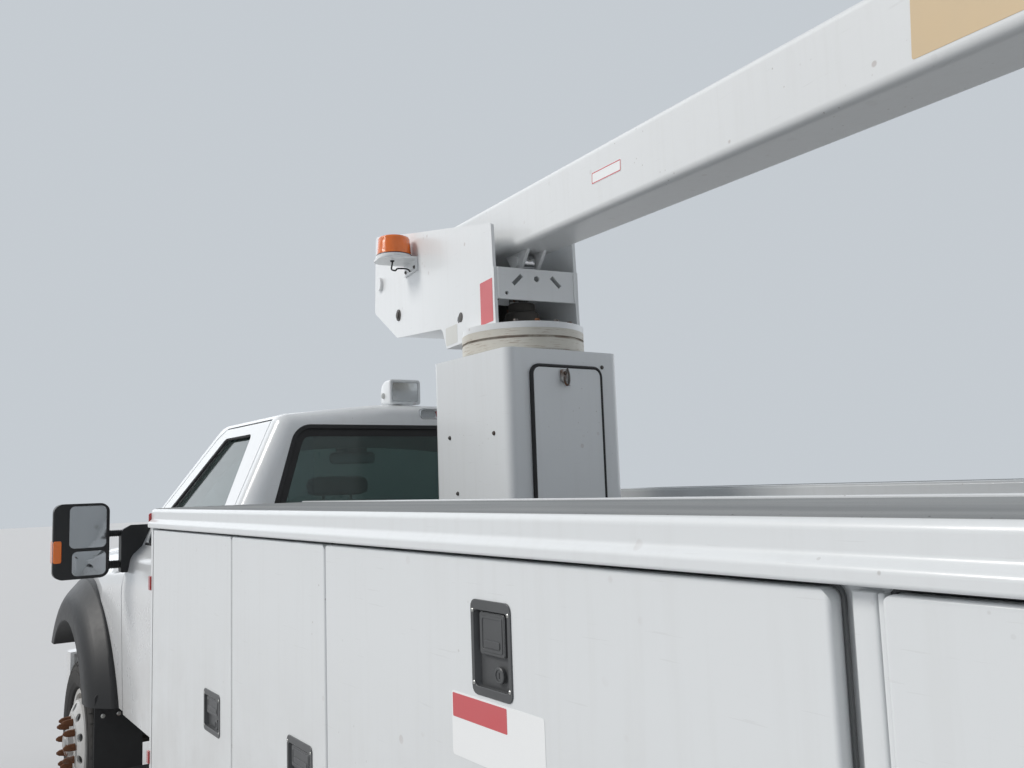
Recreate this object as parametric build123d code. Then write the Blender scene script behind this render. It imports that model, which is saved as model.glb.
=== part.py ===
from build123d import *
import os
from math import acos, atan2, cos, degrees, hypot, radians, sin, tan

# Cherry picker truck: a regular cab chassis truck with a side-pack service body, a pedestal behind
# the cab, and a telescopic boom that is stowed towards the rear with its bucket over the tail shelf.
# Millimetres. +X is forward, +Y is left and +Z is up. The origin is on the floor, at the middle of
# the whole vehicle's length and width.

# Lengths of the vehicle, from its front bumper to its tail
FRONT_OVERHANG = 968
WHEELBASE = 4186
REAR_OVERHANG = 2146
AXLE_TO_CAB_BACK = 2057
CAB_TO_BODY_GAP = 70
BODY_LENGTH = 3353

FRONT_X = (FRONT_OVERHANG + WHEELBASE + REAR_OVERHANG) / 2
FRONT_AXLE_X = FRONT_X - FRONT_OVERHANG
REAR_AXLE_X = FRONT_AXLE_X - WHEELBASE
TAIL_X = REAR_AXLE_X - REAR_OVERHANG
CAB_BACK_X = FRONT_AXLE_X - AXLE_TO_CAB_BACK
BODY_FRONT_X = CAB_BACK_X - CAB_TO_BODY_GAP
BODY_REAR_X = BODY_FRONT_X - BODY_LENGTH

# Clearances: between pieces that touch, between pieces that move, and how far fused pieces sink in
SEAT_GAP = 0.3
RUNNING_GAP = 6
SINK = 1

# Wheels and tyres
TYRE_R = 405
TYRE_WIDTH = 226
TYRE_WIDEST_R = 330
RIM_SEAT_R = 248
RIM_FLANGE_R = 262
RIM_WIDTH = 172
RIM_METAL = 9
DISC_OFFSET = 125
HUB_BORE_R = 80
HUB_R = 66
STUD_CIRCLE_R = 112.5
STUD_COUNT = 10
STUD_R = 13
STUD_LENGTH = 46
HAND_HOLE_R = 21
HAND_HOLE_CIRCLE_R = 172
FRONT_TRACK = 1900
DUAL_INNER_Y = 808
DUAL_OUTER_Y = 1072

# Chassis frame
FRAME_HALF_WIDTH = 432
FRAME_BOTTOM = 620
FRAME_DEPTH = 200
FRAME_TOP = FRAME_BOTTOM + FRAME_DEPTH
FRAME_FLANGE = 72
FRAME_METAL = 9
FRAME_FRONT_X = FRONT_X - 230
FRAME_REAR_X = TAIL_X + 90
CROSS_MEMBER_LENGTH = 56
CAB_MOUNT_R = 34

# Springs, axles and knuckles
SPRING_Y = FRAME_HALF_WIDTH + 62
SPRING_WIDTH = 76
SPRING_RISE = 90
SPRING_EYE_R = 26
LEAF = 14
LEAF_HALF_LENGTHS = [700, 640, 540, 430, 310]
AXLE_TUBE_R = 58
AXLE_BOWL_R = 165
PINION_REACH = 270
PINION_R = 62
SPINDLE_R = 42
SPINDLE_END_Y = DUAL_OUTER_Y - 60
SPRING_SEAT_Z = TYRE_R + AXLE_TUBE_R + 12
FRONT_SPRING_R = 66
FRONT_SPRING_TURNS = 6
FRONT_SPRING_BOTTOM = TYRE_R + 62
FRONT_SPRING_TOP = 770
FRONT_SPRING_Y = FRAME_HALF_WIDTH + 80
DAMPER_R = 38
BEAM_HALF_WIDTH = 42
BEAM_WEB = 12
BEAM_BOTTOM = 350
BEAM_TOP = 460
KINGPIN_Y = 890
KINGPIN_R = 24
KNUCKLE_R = 46
KNUCKLE_HALF_HEIGHT = 78
FORK_ARM = 40
STUB_R = 34
STUB_END_Y = FRONT_TRACK / 2 + DISC_OFFSET - 16

# Engine, gearbox, shaft, tank and exhaust
ENGINE_REAR_X = FRONT_AXLE_X - 330
ENGINE_FRONT_X = FRONT_AXLE_X + 420
ENGINE_HALF_WIDTH = 320
ENGINE_BOTTOM = 640
ENGINE_TOP = 1180
GEARBOX_REAR_X = FRONT_AXLE_X - 1060
GEARBOX_CROSS_X = FRONT_AXLE_X - 800
GEARBOX_CROSS_TOP = 612
GEARBOX_HALF_WIDTH = 170
SHAFT_R = 44
TANK_HALF_WIDTH = 330
TANK_BOTTOM = 560
TANK_TOP = 790
TANK_CROSS_GAP = 60
EXHAUST_Z = 560
MUFFLER_CLEARANCE = 14

# Service body
BODY_WIDTH = 2388
PACK_DEPTH = 544
PACK_OUT = BODY_WIDTH / 2
PACK_IN = PACK_OUT - PACK_DEPTH
PACK_BOTTOM = 600
RAIL_BOTTOM = 1558
RAIL_TOP = 1620
RAIL_LIP = 12
PACK_WALL = 22
DOOR_THICKNESS = 26
DOOR_CORNER_R = 14
DOOR_EDGE_R = 5
DOOR_SEAT_Y = PACK_OUT - DOOR_THICKNESS - SEAT_GAP
CARGO_FLOOR_TOP = 975
CARGO_FLOOR_THICKNESS = 35
SILL_TOP = 634
CORNER_POST = 22
REAR_ARCH_R = 478
REAR_ARCH_LIP = 28
REAR_ARCH_Z = TYRE_R + 12
DROP_DOOR_BOTTOM = 960
BODY_DOOR_TOP = RAIL_BOTTOM - RUNNING_GAP
BODY_DOOR_BOTTOM = SILL_TOP + RUNNING_GAP

# Side-pack doors, as distances back from the body's front end
DOOR_1_REAR = 834
DOOR_2_REAR = 1428
DOOR_3_REAR = 2627
DOOR_4_FRONT = 2683

# Latches of the side-pack doors
LATCH_DEPTH = 9
LATCH_CORNER_R = 10
LATCH_RIM = 8
KEY_R = 11

# Tail shelf and hitch
SHELF_THICKNESS = 60
SHELF_BUMPER_DEPTH = 60
SHELF_BUMPER_DROP = 150
HITCH_BOTTOM = 560
HITCH_Z = 690
HITCH_HOLES_Y = 86
HITCH_HOLES_Z = 44
HITCH_HOLE_R = 7
TAIL_LAMP_R = 54
TAIL_LAMP_DROP = 220

# Cab
CAB_WIDTH = 2032
CAB_HALF = CAB_WIDTH / 2
CAB_WALL = 84
CAB_ROOF_THICKNESS = 42
CAB_BACK_THICKNESS = 46
COWL_WALL = 60
CAB_FLOOR_BOTTOM = 838
CAB_FLOOR_THICKNESS = 34
CAB_CORNER_R = 70
ROCKER_BOTTOM = 640
ROCKER_WIDTH = 62
CAB_TUCK = 0.035
CAB_WIDEST_Z = 1250
SHOULDER_Z = 1392
BELT_Z = 1436
ROOF_EDGE_Z = 1956
ROOF_CROWN_Z = 2003
ROOF_HALF_WIDTH = 712
COWL_X = FRONT_AXLE_X - 470
COWL_Z = 1440
COWL_HALF_WIDTH = 880
HEADER_X = FRONT_AXLE_X - 1215
HEADER_Z = 1950
WINDSCREEN_BOW_R = 3100
GLASS = 6
GLASS_DEPTH = 8
CAB_DOOR_FRONT_X = FRONT_AXLE_X - 826
CAB_DOOR_REAR_X = CAB_BACK_X + 97
CAB_DOOR_BOTTOM = 676
CAB_DOOR_THICKNESS = 58
WINDOW_BOTTOM = BELT_Z + 16
WINDOW_TOP = 1895
REAR_WINDOW_BOTTOM = 1530
REAR_WINDOW_TOP = 1910
BRAKE_LAMP_HALF_WIDTH = 90
MIRROR_X = FRONT_AXLE_X - 880
MIRROR_IN_Y = 1085
MIRROR_OUT_Y = 1315
MIRROR_BOTTOM = 1310
MIRROR_TOP = 1640
MIRROR_GLASS_SPLIT = 1437
SEAT_HALF_WIDTH = 680
WHEEL_HUB = (COWL_X - 500, 400, 1380)
STEERING_R = 190
STEERING_TILT = 28
WORK_LAMP_X = CAB_BACK_X + 95
WORK_LAMP_Y = (70, 197)
WORK_LAMP_Z = (2022, 2110)

# Front end
HOOD_REAR_X = COWL_X + 60
HOOD_HINGE_X = HOOD_REAR_X + 30
HOOD_HINGE_Z = COWL_Z - 20
HOOD_HINGE_Y = 690
HOOD_PIN_R = 8
HOOD_FRONT_X = FRONT_X - 235
HOOD_REAR_Z = 1435
HOOD_FRONT_Z = 1340
HOOD_THICKNESS = 26
HOOD_NOSE_R = 80
FENDER_REAR_X = CAB_DOOR_FRONT_X + 2 * RUNNING_GAP
FENDER_FRONT_X = HOOD_FRONT_X
FENDER_IN = CAB_HALF - 240
FENDER_TOP_Z = 1430
FENDER_FALL = 0.064
FENDER_METAL = 24
HOOD_HALF_WIDTH = FENDER_IN - RUNNING_GAP
FRONT_ARCH_R = 520
FRONT_ARCH_Z = 505
FLARE_R = 738
FLARE_OUT_Y = CAB_HALF + 102
FLARE_METAL = 11
FLARE_REAR_BOTTOM = 690
FLARE_FRONT_BOTTOM = 860
GRILLE_HALF_WIDTH = 560
GRILLE_BOTTOM = FRAME_TOP + 10
GRILLE_TOP = 1292
GRILLE_DEPTH = 46
GRILLE_RIM = 36
GRILLE_BARS = 4
GRILLE_UPRIGHTS = 7
HEADLAMP_OUT_Y = 905
HEADLAMP_BOTTOM = 985
BUMPER_DEPTH = 190
BUMPER_BOTTOM = 500
BUMPER_TOP = 745
BUMPER_METAL = 12

# Pedestal
PEDESTAL_X = BODY_FRONT_X - 507
PEDESTAL_SIZE = 494
PEDESTAL_HALF = PEDESTAL_SIZE / 2
PEDESTAL_TOP = 2120
PEDESTAL_WALL = 12
PEDESTAL_CORNER_R = 32
PEDESTAL_FLANGE = 50
PEDESTAL_DOOR_WIDTH = 310
PEDESTAL_DOOR_TOP = 2063
PEDESTAL_DOOR_BOTTOM = 1230
PEDESTAL_DOOR_R = 32
PEDESTAL_DOOR_LAP = 24
PEDESTAL_DOOR_THICKNESS = 10
RING_R = 226
RING_BORE_R = 154
RING_TOP = 2203
RING_GROOVE_Z = 2172
RING_GROOVE = 8

# Turret, in its own frame: x forward from the turning axis
TURRET_YAW = -9.02
TURRET_WIDTH = 343
TURRET_PLATE = 12
TURRET_BASE = 22
TURRET_REAR_X = -132
CROSS_PLATE_Z = (2317, 2432)
BEACON_X = 715
BEACON_DROP = 124
BEACON_R = 78
BEACON_HEIGHT = 100

# Side plate's outline, from the rear foot round by the top: x, z, and the corner's radius
PLATE_OUTLINE = [
    (TURRET_REAR_X, 2204),
    (-116, 2592, 14),
    (262, 2679, 40),
    (700, 2776, 40),
    (1221, 2897, 26),
    (1254, 2519, 26),
    (927, 2345, 60),
    (376, 2292, 40),
    (331, 2204),
]

# Boom
BOOM_PIVOT_X = 1151
BOOM_PIVOT_Z = 2643
BOOM_SLOPE = 3.37
BOOM_WIDTH = 178
BOOM_HEIGHT = 205
BOOM_WALL = 8
BOOM_AXIS_RISE = 39
BOOM_CORNER_R = 22
BOOM_BUTT = 60
OUTER_BOOM_LENGTH = 4110
COLLAR_LENGTH = 90
WEAR_PAD_LENGTH = 70
INNER_BOOM_WIDTH = 142
INNER_BOOM_HEIGHT = 168
INNER_BOOM_WALL = 10
INNER_BOOM_CORNER_R = 16
INNER_BOOM_STICKOUT = 290
INNER_BOOM_TAIL = 160
BOOM_PIN_R = 32
BOOM_MOUTH_X = BOOM_BUTT - OUTER_BOOM_LENGTH
BOOM_TIP_X = BOOM_MOUTH_X - INNER_BOOM_STICKOUT
TIP_PIVOT_X = BOOM_TIP_X + 60
TIP_PIN_R = 28
TIP_BOSS = 20

# Lift cylinder
CYLINDER_PIN_X = 899
CYLINDER_PIN_Z = 2445
LUG_PIN_X = -50
LUG_PIN_Z = 2475
BARREL_R = 44
BARREL_LENGTH = 700
BARREL_BORE = 560
ROD_R = 24
EYE_R = 30
EYE_WIDTH = 44
LUG_GAP = 6
LUG_PLATE = 12
PIN_R = 15
PORT_R = 12

# Bucket and what carries it
BUCKET_LENGTH = 610
BUCKET_WIDTH = 610
BUCKET_HEIGHT = 1016
BUCKET_BOTTOM = 1646
BUCKET_WALL = 12
BUCKET_CORNER_R = 50
BUCKET_LIP_OUT = 12
BUCKET_LIP_HEIGHT = 38
BUCKET_RIB = 6
BUCKET_BOOM_GAP = 142
BRACKET_PLATE = 14

# Boom rest
REST_X = BODY_REAR_X + 260
REST_PAD_HALF = 60
REST_POST_HALF = 38


# Forms

def outline(corners):
    # A closed outline of straight sides. A corner with a third number is rounded to that radius
    marks = []
    for index, corner in enumerate(corners):
        x, y = corner[0], corner[1]
        if len(corner) == 2:
            marks.append([(x, y)])
            continue
        last, following = corners[index - 1], corners[(index + 1) % len(corners)]
        back = hypot(last[0] - x, last[1] - y)
        ahead = hypot(following[0] - x, following[1] - y)
        bx, by = (last[0] - x) / back, (last[1] - y) / back
        ax, ay = (following[0] - x) / ahead, (following[1] - y) / ahead
        half = acos(bx * ax + by * ay) / 2
        reach = corner[2] / tan(half)
        middle = (corner[2] / sin(half) - corner[2]) / hypot(bx + ax, by + ay)
        marks.append([(x + bx * reach, y + by * reach),
                      (x + (bx + ax) * middle, y + (by + ay) * middle),
                      (x + ax * reach, y + ay * reach)])
    edges = []
    for index, mark in enumerate(marks):
        if len(mark) == 3:
            edges.append(ThreePointArc(*mark))
        start, end = mark[-1], marks[(index + 1) % len(marks)][0]
        if hypot(end[0] - start[0], end[1] - start[1]) > 1e-4:
            edges.append(Line(start, end))
    return Face(Wire(edges))


def symmetric(half):
    # The half outline goes up one side, and its first numbers are mirrored for the way back
    return half + [(-corner[0], *corner[1:]) for corner in reversed(half) if corner[0] > 0]


def block(x0, x1, y0, y1, z0, z1):
    centre = ((x0 + x1) / 2, (y0 + y1) / 2, (z0 + z1) / 2)
    return Pos(*centre) * Box(abs(x1 - x0), abs(y1 - y0), abs(z1 - z0))


def prism_x(points, x0, x1):
    # Points are (y, z)
    return extrude(Plane.YZ.offset(x0) * outline(points), amount=x1 - x0, dir=(1, 0, 0))


def prism_y(points, y0, y1):
    # Points are (x, z)
    return extrude(Plane.XZ.offset(-y0) * outline(points), amount=y1 - y0, dir=(0, 1, 0))


def prism_z(points, z0, z1):
    # Points are (x, y)
    return extrude(Plane.XY.offset(z0) * outline(points), amount=z1 - z0, dir=(0, 0, 1))


def rounded(low, high, radius):
    # The four corners of an upright rectangle, each with that radius
    return [(low[0], low[1], radius), (high[0], low[1], radius), (high[0], high[1], radius),
            (low[0], high[1], radius)]


def rod_x(x0, x1, y, z, radius):
    return Pos((x0 + x1) / 2, y, z) * Rot(0, 90, 0) * Cylinder(radius, abs(x1 - x0))


def rod_y(x, y0, y1, z, radius):
    return Pos(x, (y0 + y1) / 2, z) * Rot(90, 0, 0) * Cylinder(radius, abs(y1 - y0))


def rod_z(x, y, z0, z1, radius):
    return Pos(x, y, (z0 + z1) / 2) * Cylinder(radius, abs(z1 - z0))


def rod_between(start, end, radius):
    path = Line(start, end)
    return sweep(Plane(origin=path @ 0, z_dir=path % 0) * Circle(radius), path)


def right_of(shape):
    return mirror(shape, about=Plane.XZ)


def both_sides(shape):
    return shape + right_of(shape)


NODES = {}


def keep(name, *shapes):
    NODES[name] = list(shapes)


def sided(name, *left_shapes):
    keep(name + "_left", *left_shapes)
    keep(name + "_right", *[right_of(shape) for shape in left_shapes])


# Chassis

# Cross members: x, bottom, top
TANK_CROSS_X = REAR_AXLE_X - 440
REAR_CROSS_X = BODY_REAR_X - 60
CROSS_MEMBERS = [
    (FRAME_FRONT_X - 60, 650, 790),
    (GEARBOX_CROSS_X, 560, GEARBOX_CROSS_TOP),
    (PEDESTAL_X + 300, 720, 812),
    (PEDESTAL_X - 520, 720, 812),
    (REAR_AXLE_X + 360, 700, 812),
    (TANK_CROSS_X, 640, 812),
    (REAR_CROSS_X, 640, 812),
    (FRAME_REAR_X + 30, 640, 812),
]


def chassis_frame():
    outer = FRAME_HALF_WIDTH
    inner = outer - FRAME_FLANGE
    metal = FRAME_METAL
    channel = [(outer, FRAME_BOTTOM), (outer, FRAME_TOP), (inner, FRAME_TOP), (inner, FRAME_TOP - metal),
               (outer - metal, FRAME_TOP - metal), (outer - metal, FRAME_BOTTOM + metal),
               (inner, FRAME_BOTTOM + metal), (inner, FRAME_BOTTOM)]
    frame = both_sides(prism_x(channel, FRAME_REAR_X, FRAME_FRONT_X))
    reach = outer - metal
    half = CROSS_MEMBER_LENGTH / 2
    for x, bottom, top in CROSS_MEMBERS:
        frame += block(x - half, x + half, -reach, reach, bottom, top)
        if bottom < FRAME_BOTTOM:
            frame += both_sides(block(x - half, x + half, inner, reach, bottom, FRAME_BOTTOM + metal))
    for x in (CAB_BACK_X + 120, CAB_DOOR_FRONT_X - 60):
        puck = rod_z(x, outer - FRAME_FLANGE / 2, FRAME_TOP - SINK, CAB_FLOOR_BOTTOM - SEAT_GAP,
                     CAB_MOUNT_R)
        frame += both_sides(puck)
    return frame


def leaf_spring():
    # The longest leaf is at the top and each shorter one lies under it, all bent to one circle
    span = LEAF_HALF_LENGTHS[0]
    bend = (span * span + SPRING_RISE * SPRING_RISE) / (2 * SPRING_RISE)
    stack = LEAF * len(LEAF_HALF_LENGTHS)
    centre_z = SPRING_SEAT_Z + stack + bend
    inner_y = SPRING_Y - SPRING_WIDTH / 2
    spring = None
    for index, half_length in enumerate(LEAF_HALF_LENGTHS):
        band = Circle(bend + LEAF * (index + 1)) - Circle(bend + LEAF * index)
        band = band & (Pos(0, -bend) * Rectangle(2 * half_length, 2 * (SPRING_RISE + stack)))
        leaf = extrude(Plane.XZ * Pos(REAR_AXLE_X, centre_z) * band, amount=SPRING_WIDTH, dir=(0, 1, 0))
        leaf = Pos(0, inner_y, 0) * leaf
        spring = leaf if spring is None else spring + leaf
    eye_z = centre_z - (bend * bend - span * span) ** 0.5
    for end in (-1, 1):
        x = REAR_AXLE_X + end * span
        spring += rod_y(x, inner_y, inner_y + SPRING_WIDTH, eye_z, SPRING_EYE_R)
        hanger = [(x - 45, eye_z - 40, 30), (x + 45, eye_z - 40, 30), (x + 75, FRAME_TOP - 40),
                  (x - 75, FRAME_TOP - 40)]
        spring += prism_y(hanger, FRAME_HALF_WIDTH, inner_y)
    return spring


def front_spring():
    # The coil's turns stand on the axle's seat, round the damper that joins them
    pitch = (FRONT_SPRING_TOP - FRONT_SPRING_BOTTOM) / FRONT_SPRING_TURNS
    x, y = FRONT_AXLE_X, FRONT_SPRING_Y
    spring = rod_z(x, y, FRONT_SPRING_BOTTOM, FRONT_SPRING_TOP, DAMPER_R)
    for index in range(FRONT_SPRING_TURNS):
        low = FRONT_SPRING_BOTTOM + index * pitch
        spring += rod_z(x, y, low + pitch * 0.2, low + pitch * 0.8, FRONT_SPRING_R)
    spring += block(x - 85, x + 85, FRAME_HALF_WIDTH, y + 80, FRONT_SPRING_TOP, FRONT_SPRING_TOP + 30)
    return spring


def suspension():
    left = [leaf_spring(), front_spring()]
    keep("springs", *left, *[right_of(spring) for spring in left])


def rear_axle():
    reach = DUAL_INNER_Y - 20
    axle = rod_y(REAR_AXLE_X, -reach, reach, TYRE_R, AXLE_TUBE_R)
    axle += Pos(REAR_AXLE_X, 0, TYRE_R) * Sphere(AXLE_BOWL_R)
    axle += rod_x(REAR_AXLE_X, REAR_AXLE_X + PINION_REACH, 0, TYRE_R + 20, PINION_R)
    axle += rod_y(REAR_AXLE_X, -SPINDLE_END_Y, SPINDLE_END_Y, TYRE_R, SPINDLE_R)
    seat = block(REAR_AXLE_X - 70, REAR_AXLE_X + 70,
                 SPRING_Y - SPRING_WIDTH / 2, SPRING_Y + SPRING_WIDTH / 2,
                 TYRE_R, SPRING_SEAT_Z)
    axle += both_sides(seat)
    return axle


def front_axle():
    flange = [(BEAM_HALF_WIDTH, BEAM_BOTTOM), (BEAM_HALF_WIDTH, BEAM_BOTTOM + 18),
              (BEAM_WEB, BEAM_BOTTOM + 30), (BEAM_WEB, BEAM_TOP - 32), (BEAM_HALF_WIDTH, BEAM_TOP - 20),
              (BEAM_HALF_WIDTH, BEAM_TOP)]
    section = [(FRONT_AXLE_X + x, z) for x, z in symmetric(flange)]
    reach = KINGPIN_Y - 118
    axle = prism_y(section, -reach, reach)
    seat = rod_z(FRONT_AXLE_X, FRONT_SPRING_Y, BEAM_TOP - 20, FRONT_SPRING_BOTTOM, FRONT_SPRING_R + 12)
    # The beam's end opens into a fork whose two arms hold the king pin above and below the knuckle
    arm_top = TYRE_R + KNUCKLE_HALF_HEIGHT + 4
    fork = block(FRONT_AXLE_X - 36, FRONT_AXLE_X + 36, reach - 30, reach, TYRE_R - 124, TYRE_R + 124)
    for bottom in (arm_top, 2 * TYRE_R - arm_top - FORK_ARM):
        top = bottom + FORK_ARM
        fork += block(FRONT_AXLE_X - 36, FRONT_AXLE_X + 36, reach - 30, KINGPIN_Y, bottom, top)
        fork += rod_z(FRONT_AXLE_X, KINGPIN_Y, bottom, top, KINGPIN_R + 14)
    fork += rod_z(FRONT_AXLE_X, KINGPIN_Y, TYRE_R - 130, TYRE_R + 130, KINGPIN_R)
    axle += both_sides(seat + fork)
    return axle


def knuckle():
    body = rod_z(FRONT_AXLE_X, KINGPIN_Y, TYRE_R - KNUCKLE_HALF_HEIGHT, TYRE_R + KNUCKLE_HALF_HEIGHT,
                 KNUCKLE_R)
    body += rod_y(FRONT_AXLE_X, KINGPIN_Y, STUB_END_Y, TYRE_R, STUB_R)
    body += block(FRONT_AXLE_X - 190, FRONT_AXLE_X, KINGPIN_Y - 40, KINGPIN_Y - 4, TYRE_R - 66, TYRE_R - 38)
    body -= rod_z(FRONT_AXLE_X, KINGPIN_Y, 0, 2 * TYRE_R, KINGPIN_R + SEAT_GAP)
    return body


def revolved(x, y, z, section):
    # The section's points are (radius, distance outboard from y), turned round an axle along Y
    return Pos(x, y, z) * revolve(Plane.XY * outline(section), axis=Axis.Y)


def tyre(x, y):
    half = TYRE_WIDTH / 2
    bead = RIM_WIDTH / 2 - RIM_METAL - SEAT_GAP
    side = [(RIM_SEAT_R + SEAT_GAP, bead), (RIM_FLANGE_R + 3, bead), (RIM_FLANGE_R + 12, half - 16),
            (TYRE_WIDEST_R, half), (TYRE_R - 33, half - 6), (TYRE_R - 6, half - 22), (TYRE_R, half - 52)]
    section = [(r, -out) for r, out in side] + [(r, out) for r, out in reversed(side)]
    return revolved(x, y, TYRE_R, section)


def rim(x, y, disc_side):
    # disc_side is +1 where the disc stands at the rim's outboard side and -1 where it stands inboard
    half = RIM_WIDTH / 2
    metal = RIM_METAL
    face = DISC_OFFSET
    well = RIM_SEAT_R - 2 * metal
    points = [(RIM_SEAT_R, -half + metal), (RIM_FLANGE_R, -half + metal), (RIM_FLANGE_R, -half),
              (RIM_SEAT_R - metal, -half), (well, -40), (222, -28), (222, 34), (205, 66), (196, 96),
              (150, face - metal), (HUB_BORE_R, face - metal), (HUB_BORE_R, face), (156, face),
              (206, 100), (215, 70), (231, 44), (RIM_SEAT_R - metal, 52), (RIM_SEAT_R - metal, half),
              (RIM_FLANGE_R, half), (RIM_FLANGE_R, half - metal), (RIM_SEAT_R, half - metal),
              (RIM_SEAT_R, 44), (232, 30), (232, -24), (RIM_SEAT_R, -40)]
    return revolved(x, y, TYRE_R, [(r, disc_side * out) for r, out in points])


def ring_of_rods(x, y0, y1, circle_r, radius, turn):
    ring = None
    for index in range(STUD_COUNT):
        angle = radians(360 / STUD_COUNT * (index + turn))
        rod = rod_y(x + circle_r * cos(angle), y0, y1, TYRE_R + circle_r * sin(angle), radius)
        ring = rod if ring is None else ring + rod
    return ring


def front_wheel():
    x, y = FRONT_AXLE_X, FRONT_TRACK / 2
    face = y + DISC_OFFSET
    wheel = rim(x, y, 1) - ring_of_rods(x, y, face + 50, HAND_HOLE_CIRCLE_R, HAND_HOLE_R, 0.5)
    hub = rod_y(x, STUB_END_Y - 66, face + 26, TYRE_R, HUB_R)
    hub += rod_y(x, face - RIM_METAL - 12, face + 4, TYRE_R, STUD_CIRCLE_R + 18)
    hub -= rod_y(x, KINGPIN_Y, STUB_END_Y + 4, TYRE_R, STUB_R + SEAT_GAP)
    return wheel + hub + ring_of_rods(x, face - 4, face + STUD_LENGTH, STUD_CIRCLE_R, STUD_R, 0)


def rear_wheel():
    x = REAR_AXLE_X
    middle = (DUAL_INNER_Y + DUAL_OUTER_Y) / 2
    wheel = rim(x, DUAL_INNER_Y, 1) + rim(x, DUAL_OUTER_Y, -1)
    wheel -= ring_of_rods(x, middle - 100, middle + 100, HAND_HOLE_CIRCLE_R, HAND_HOLE_R, 0.5)
    hub = rod_y(x, DUAL_INNER_Y - 10, middle + 110, TYRE_R, HUB_BORE_R + 6)
    hub += rod_y(x, middle - 16, middle + 16, TYRE_R, STUD_CIRCLE_R + 18)
    hub -= rod_y(x, 0, SPINDLE_END_Y + 4, TYRE_R, SPINDLE_R + SEAT_GAP)
    return wheel + hub + ring_of_rods(x, middle - 12, middle + 16 + STUD_LENGTH, STUD_CIRCLE_R, STUD_R, 0)


def wheels():
    sided("tyre_front", tyre(FRONT_AXLE_X, FRONT_TRACK / 2))
    sided("tyres_rear", tyre(REAR_AXLE_X, DUAL_INNER_Y), tyre(REAR_AXLE_X, DUAL_OUTER_Y))
    sided("wheel_front", front_wheel())
    sided("wheel_rear", rear_wheel())


def engine():
    block_form = block(ENGINE_REAR_X, ENGINE_FRONT_X, -ENGINE_HALF_WIDTH, ENGINE_HALF_WIDTH,
                       ENGINE_BOTTOM, ENGINE_TOP)
    reach = FRAME_HALF_WIDTH - FRAME_METAL - SEAT_GAP
    mount_x = ENGINE_REAR_X + 180
    return block_form + block(mount_x - 50, mount_x + 50, -reach, reach, 690, 750)


def driveline():
    half = GEARBOX_HALF_WIDTH
    box = prism_y([(ENGINE_REAR_X, ENGINE_BOTTOM), (ENGINE_REAR_X, 1000), (ENGINE_REAR_X - 250, 820),
                   (GEARBOX_REAR_X, 780), (GEARBOX_REAR_X, ENGINE_BOTTOM)], -half, half)
    box -= block(GEARBOX_REAR_X - 1, ENGINE_REAR_X + 1, -half - 1, half + 1,
                 CAB_FLOOR_BOTTOM - RUNNING_GAP, 1100)
    box += block(GEARBOX_CROSS_X - 24, GEARBOX_CROSS_X + 24, -60, 60, GEARBOX_CROSS_TOP + SEAT_GAP,
                 ENGINE_BOTTOM + SINK)
    pinion_face = REAR_AXLE_X + PINION_REACH + SEAT_GAP
    box += rod_x(pinion_face, pinion_face + 24, 0, TYRE_R + 20, PINION_R - 4)
    return box + rod_between((GEARBOX_REAR_X, 0, 700), (pinion_face + 8, 0, TYRE_R + 20), SHAFT_R)


def fuel_tank():
    # It hangs between two of the frame's cross members
    x1 = TANK_CROSS_X - CROSS_MEMBER_LENGTH / 2 - TANK_CROSS_GAP
    x0 = REAR_CROSS_X + CROSS_MEMBER_LENGTH / 2 + TANK_CROSS_GAP
    half = TANK_HALF_WIDTH
    section = rounded((-half, TANK_BOTTOM), (half, TANK_TOP), 40)
    tank = prism_x(section, x0, x1)
    strap_reach = FRAME_HALF_WIDTH - FRAME_METAL
    for share in (0.22, 0.78):
        x = x0 + (x1 - x0) * share
        tank += block(x - 22, x + 22, -strap_reach, strap_reach, TANK_TOP - SINK, FRAME_TOP - FRAME_METAL)
    return tank


def exhaust():
    # It runs between the frame and the right side pack
    y = -(FRAME_HALF_WIDTH + PACK_IN) / 2
    z = EXHAUST_Z
    muffler_r = (PACK_IN - FRAME_HALF_WIDTH) / 2 - MUFFLER_CLEARANCE
    pipe_r = muffler_r * 0.4
    out = rod_x(-60, 640, y, z, muffler_r)
    out += rod_x(640 - SINK, GEARBOX_REAR_X, y, z, pipe_r)
    out += rod_x(-760, -60 + SINK, y, z, pipe_r)
    out += rod_between((-760, y, z), (-900, y - 60, z - 40), pipe_r)
    for x in (-200, 700):
        out += block(x - 20, x + 20, y - pipe_r * 0.8, -FRAME_HALF_WIDTH, z + pipe_r * 0.8, 700)
    return out


# Service body

# Doors of a side pack: name, front, rear, bottom, hinged edge
PACK_DOORS = [
    ("pack_door_1", CORNER_POST + RUNNING_GAP, DOOR_1_REAR - RUNNING_GAP / 2, BODY_DOOR_BOTTOM, "front"),
    ("pack_door_2", DOOR_1_REAR + RUNNING_GAP / 2, DOOR_2_REAR - RUNNING_GAP / 2, BODY_DOOR_BOTTOM, "front"),
    ("pack_door_3", DOOR_2_REAR + RUNNING_GAP / 2, DOOR_3_REAR, DROP_DOOR_BOTTOM, "bottom"),
    ("pack_door_4", DOOR_4_FRONT, BODY_LENGTH - CORNER_POST - RUNNING_GAP, BODY_DOOR_BOTTOM, "rear"),
]

# Latches of those doors: distance back from the body's front end, middle height, width, height
LATCHES = {
    "pack_door_1": (673, 1082, 138, 110),
    "pack_door_2": (1288, 1082, 138, 110),
    "pack_door_3": (2038, 1420, 106, 141),
    "pack_door_4": (2800, 1082, 138, 110),
}


def rear_arch(radius, y0, y1):
    return rod_y(REAR_AXLE_X, y0, y1, REAR_ARCH_Z, radius)


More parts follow.
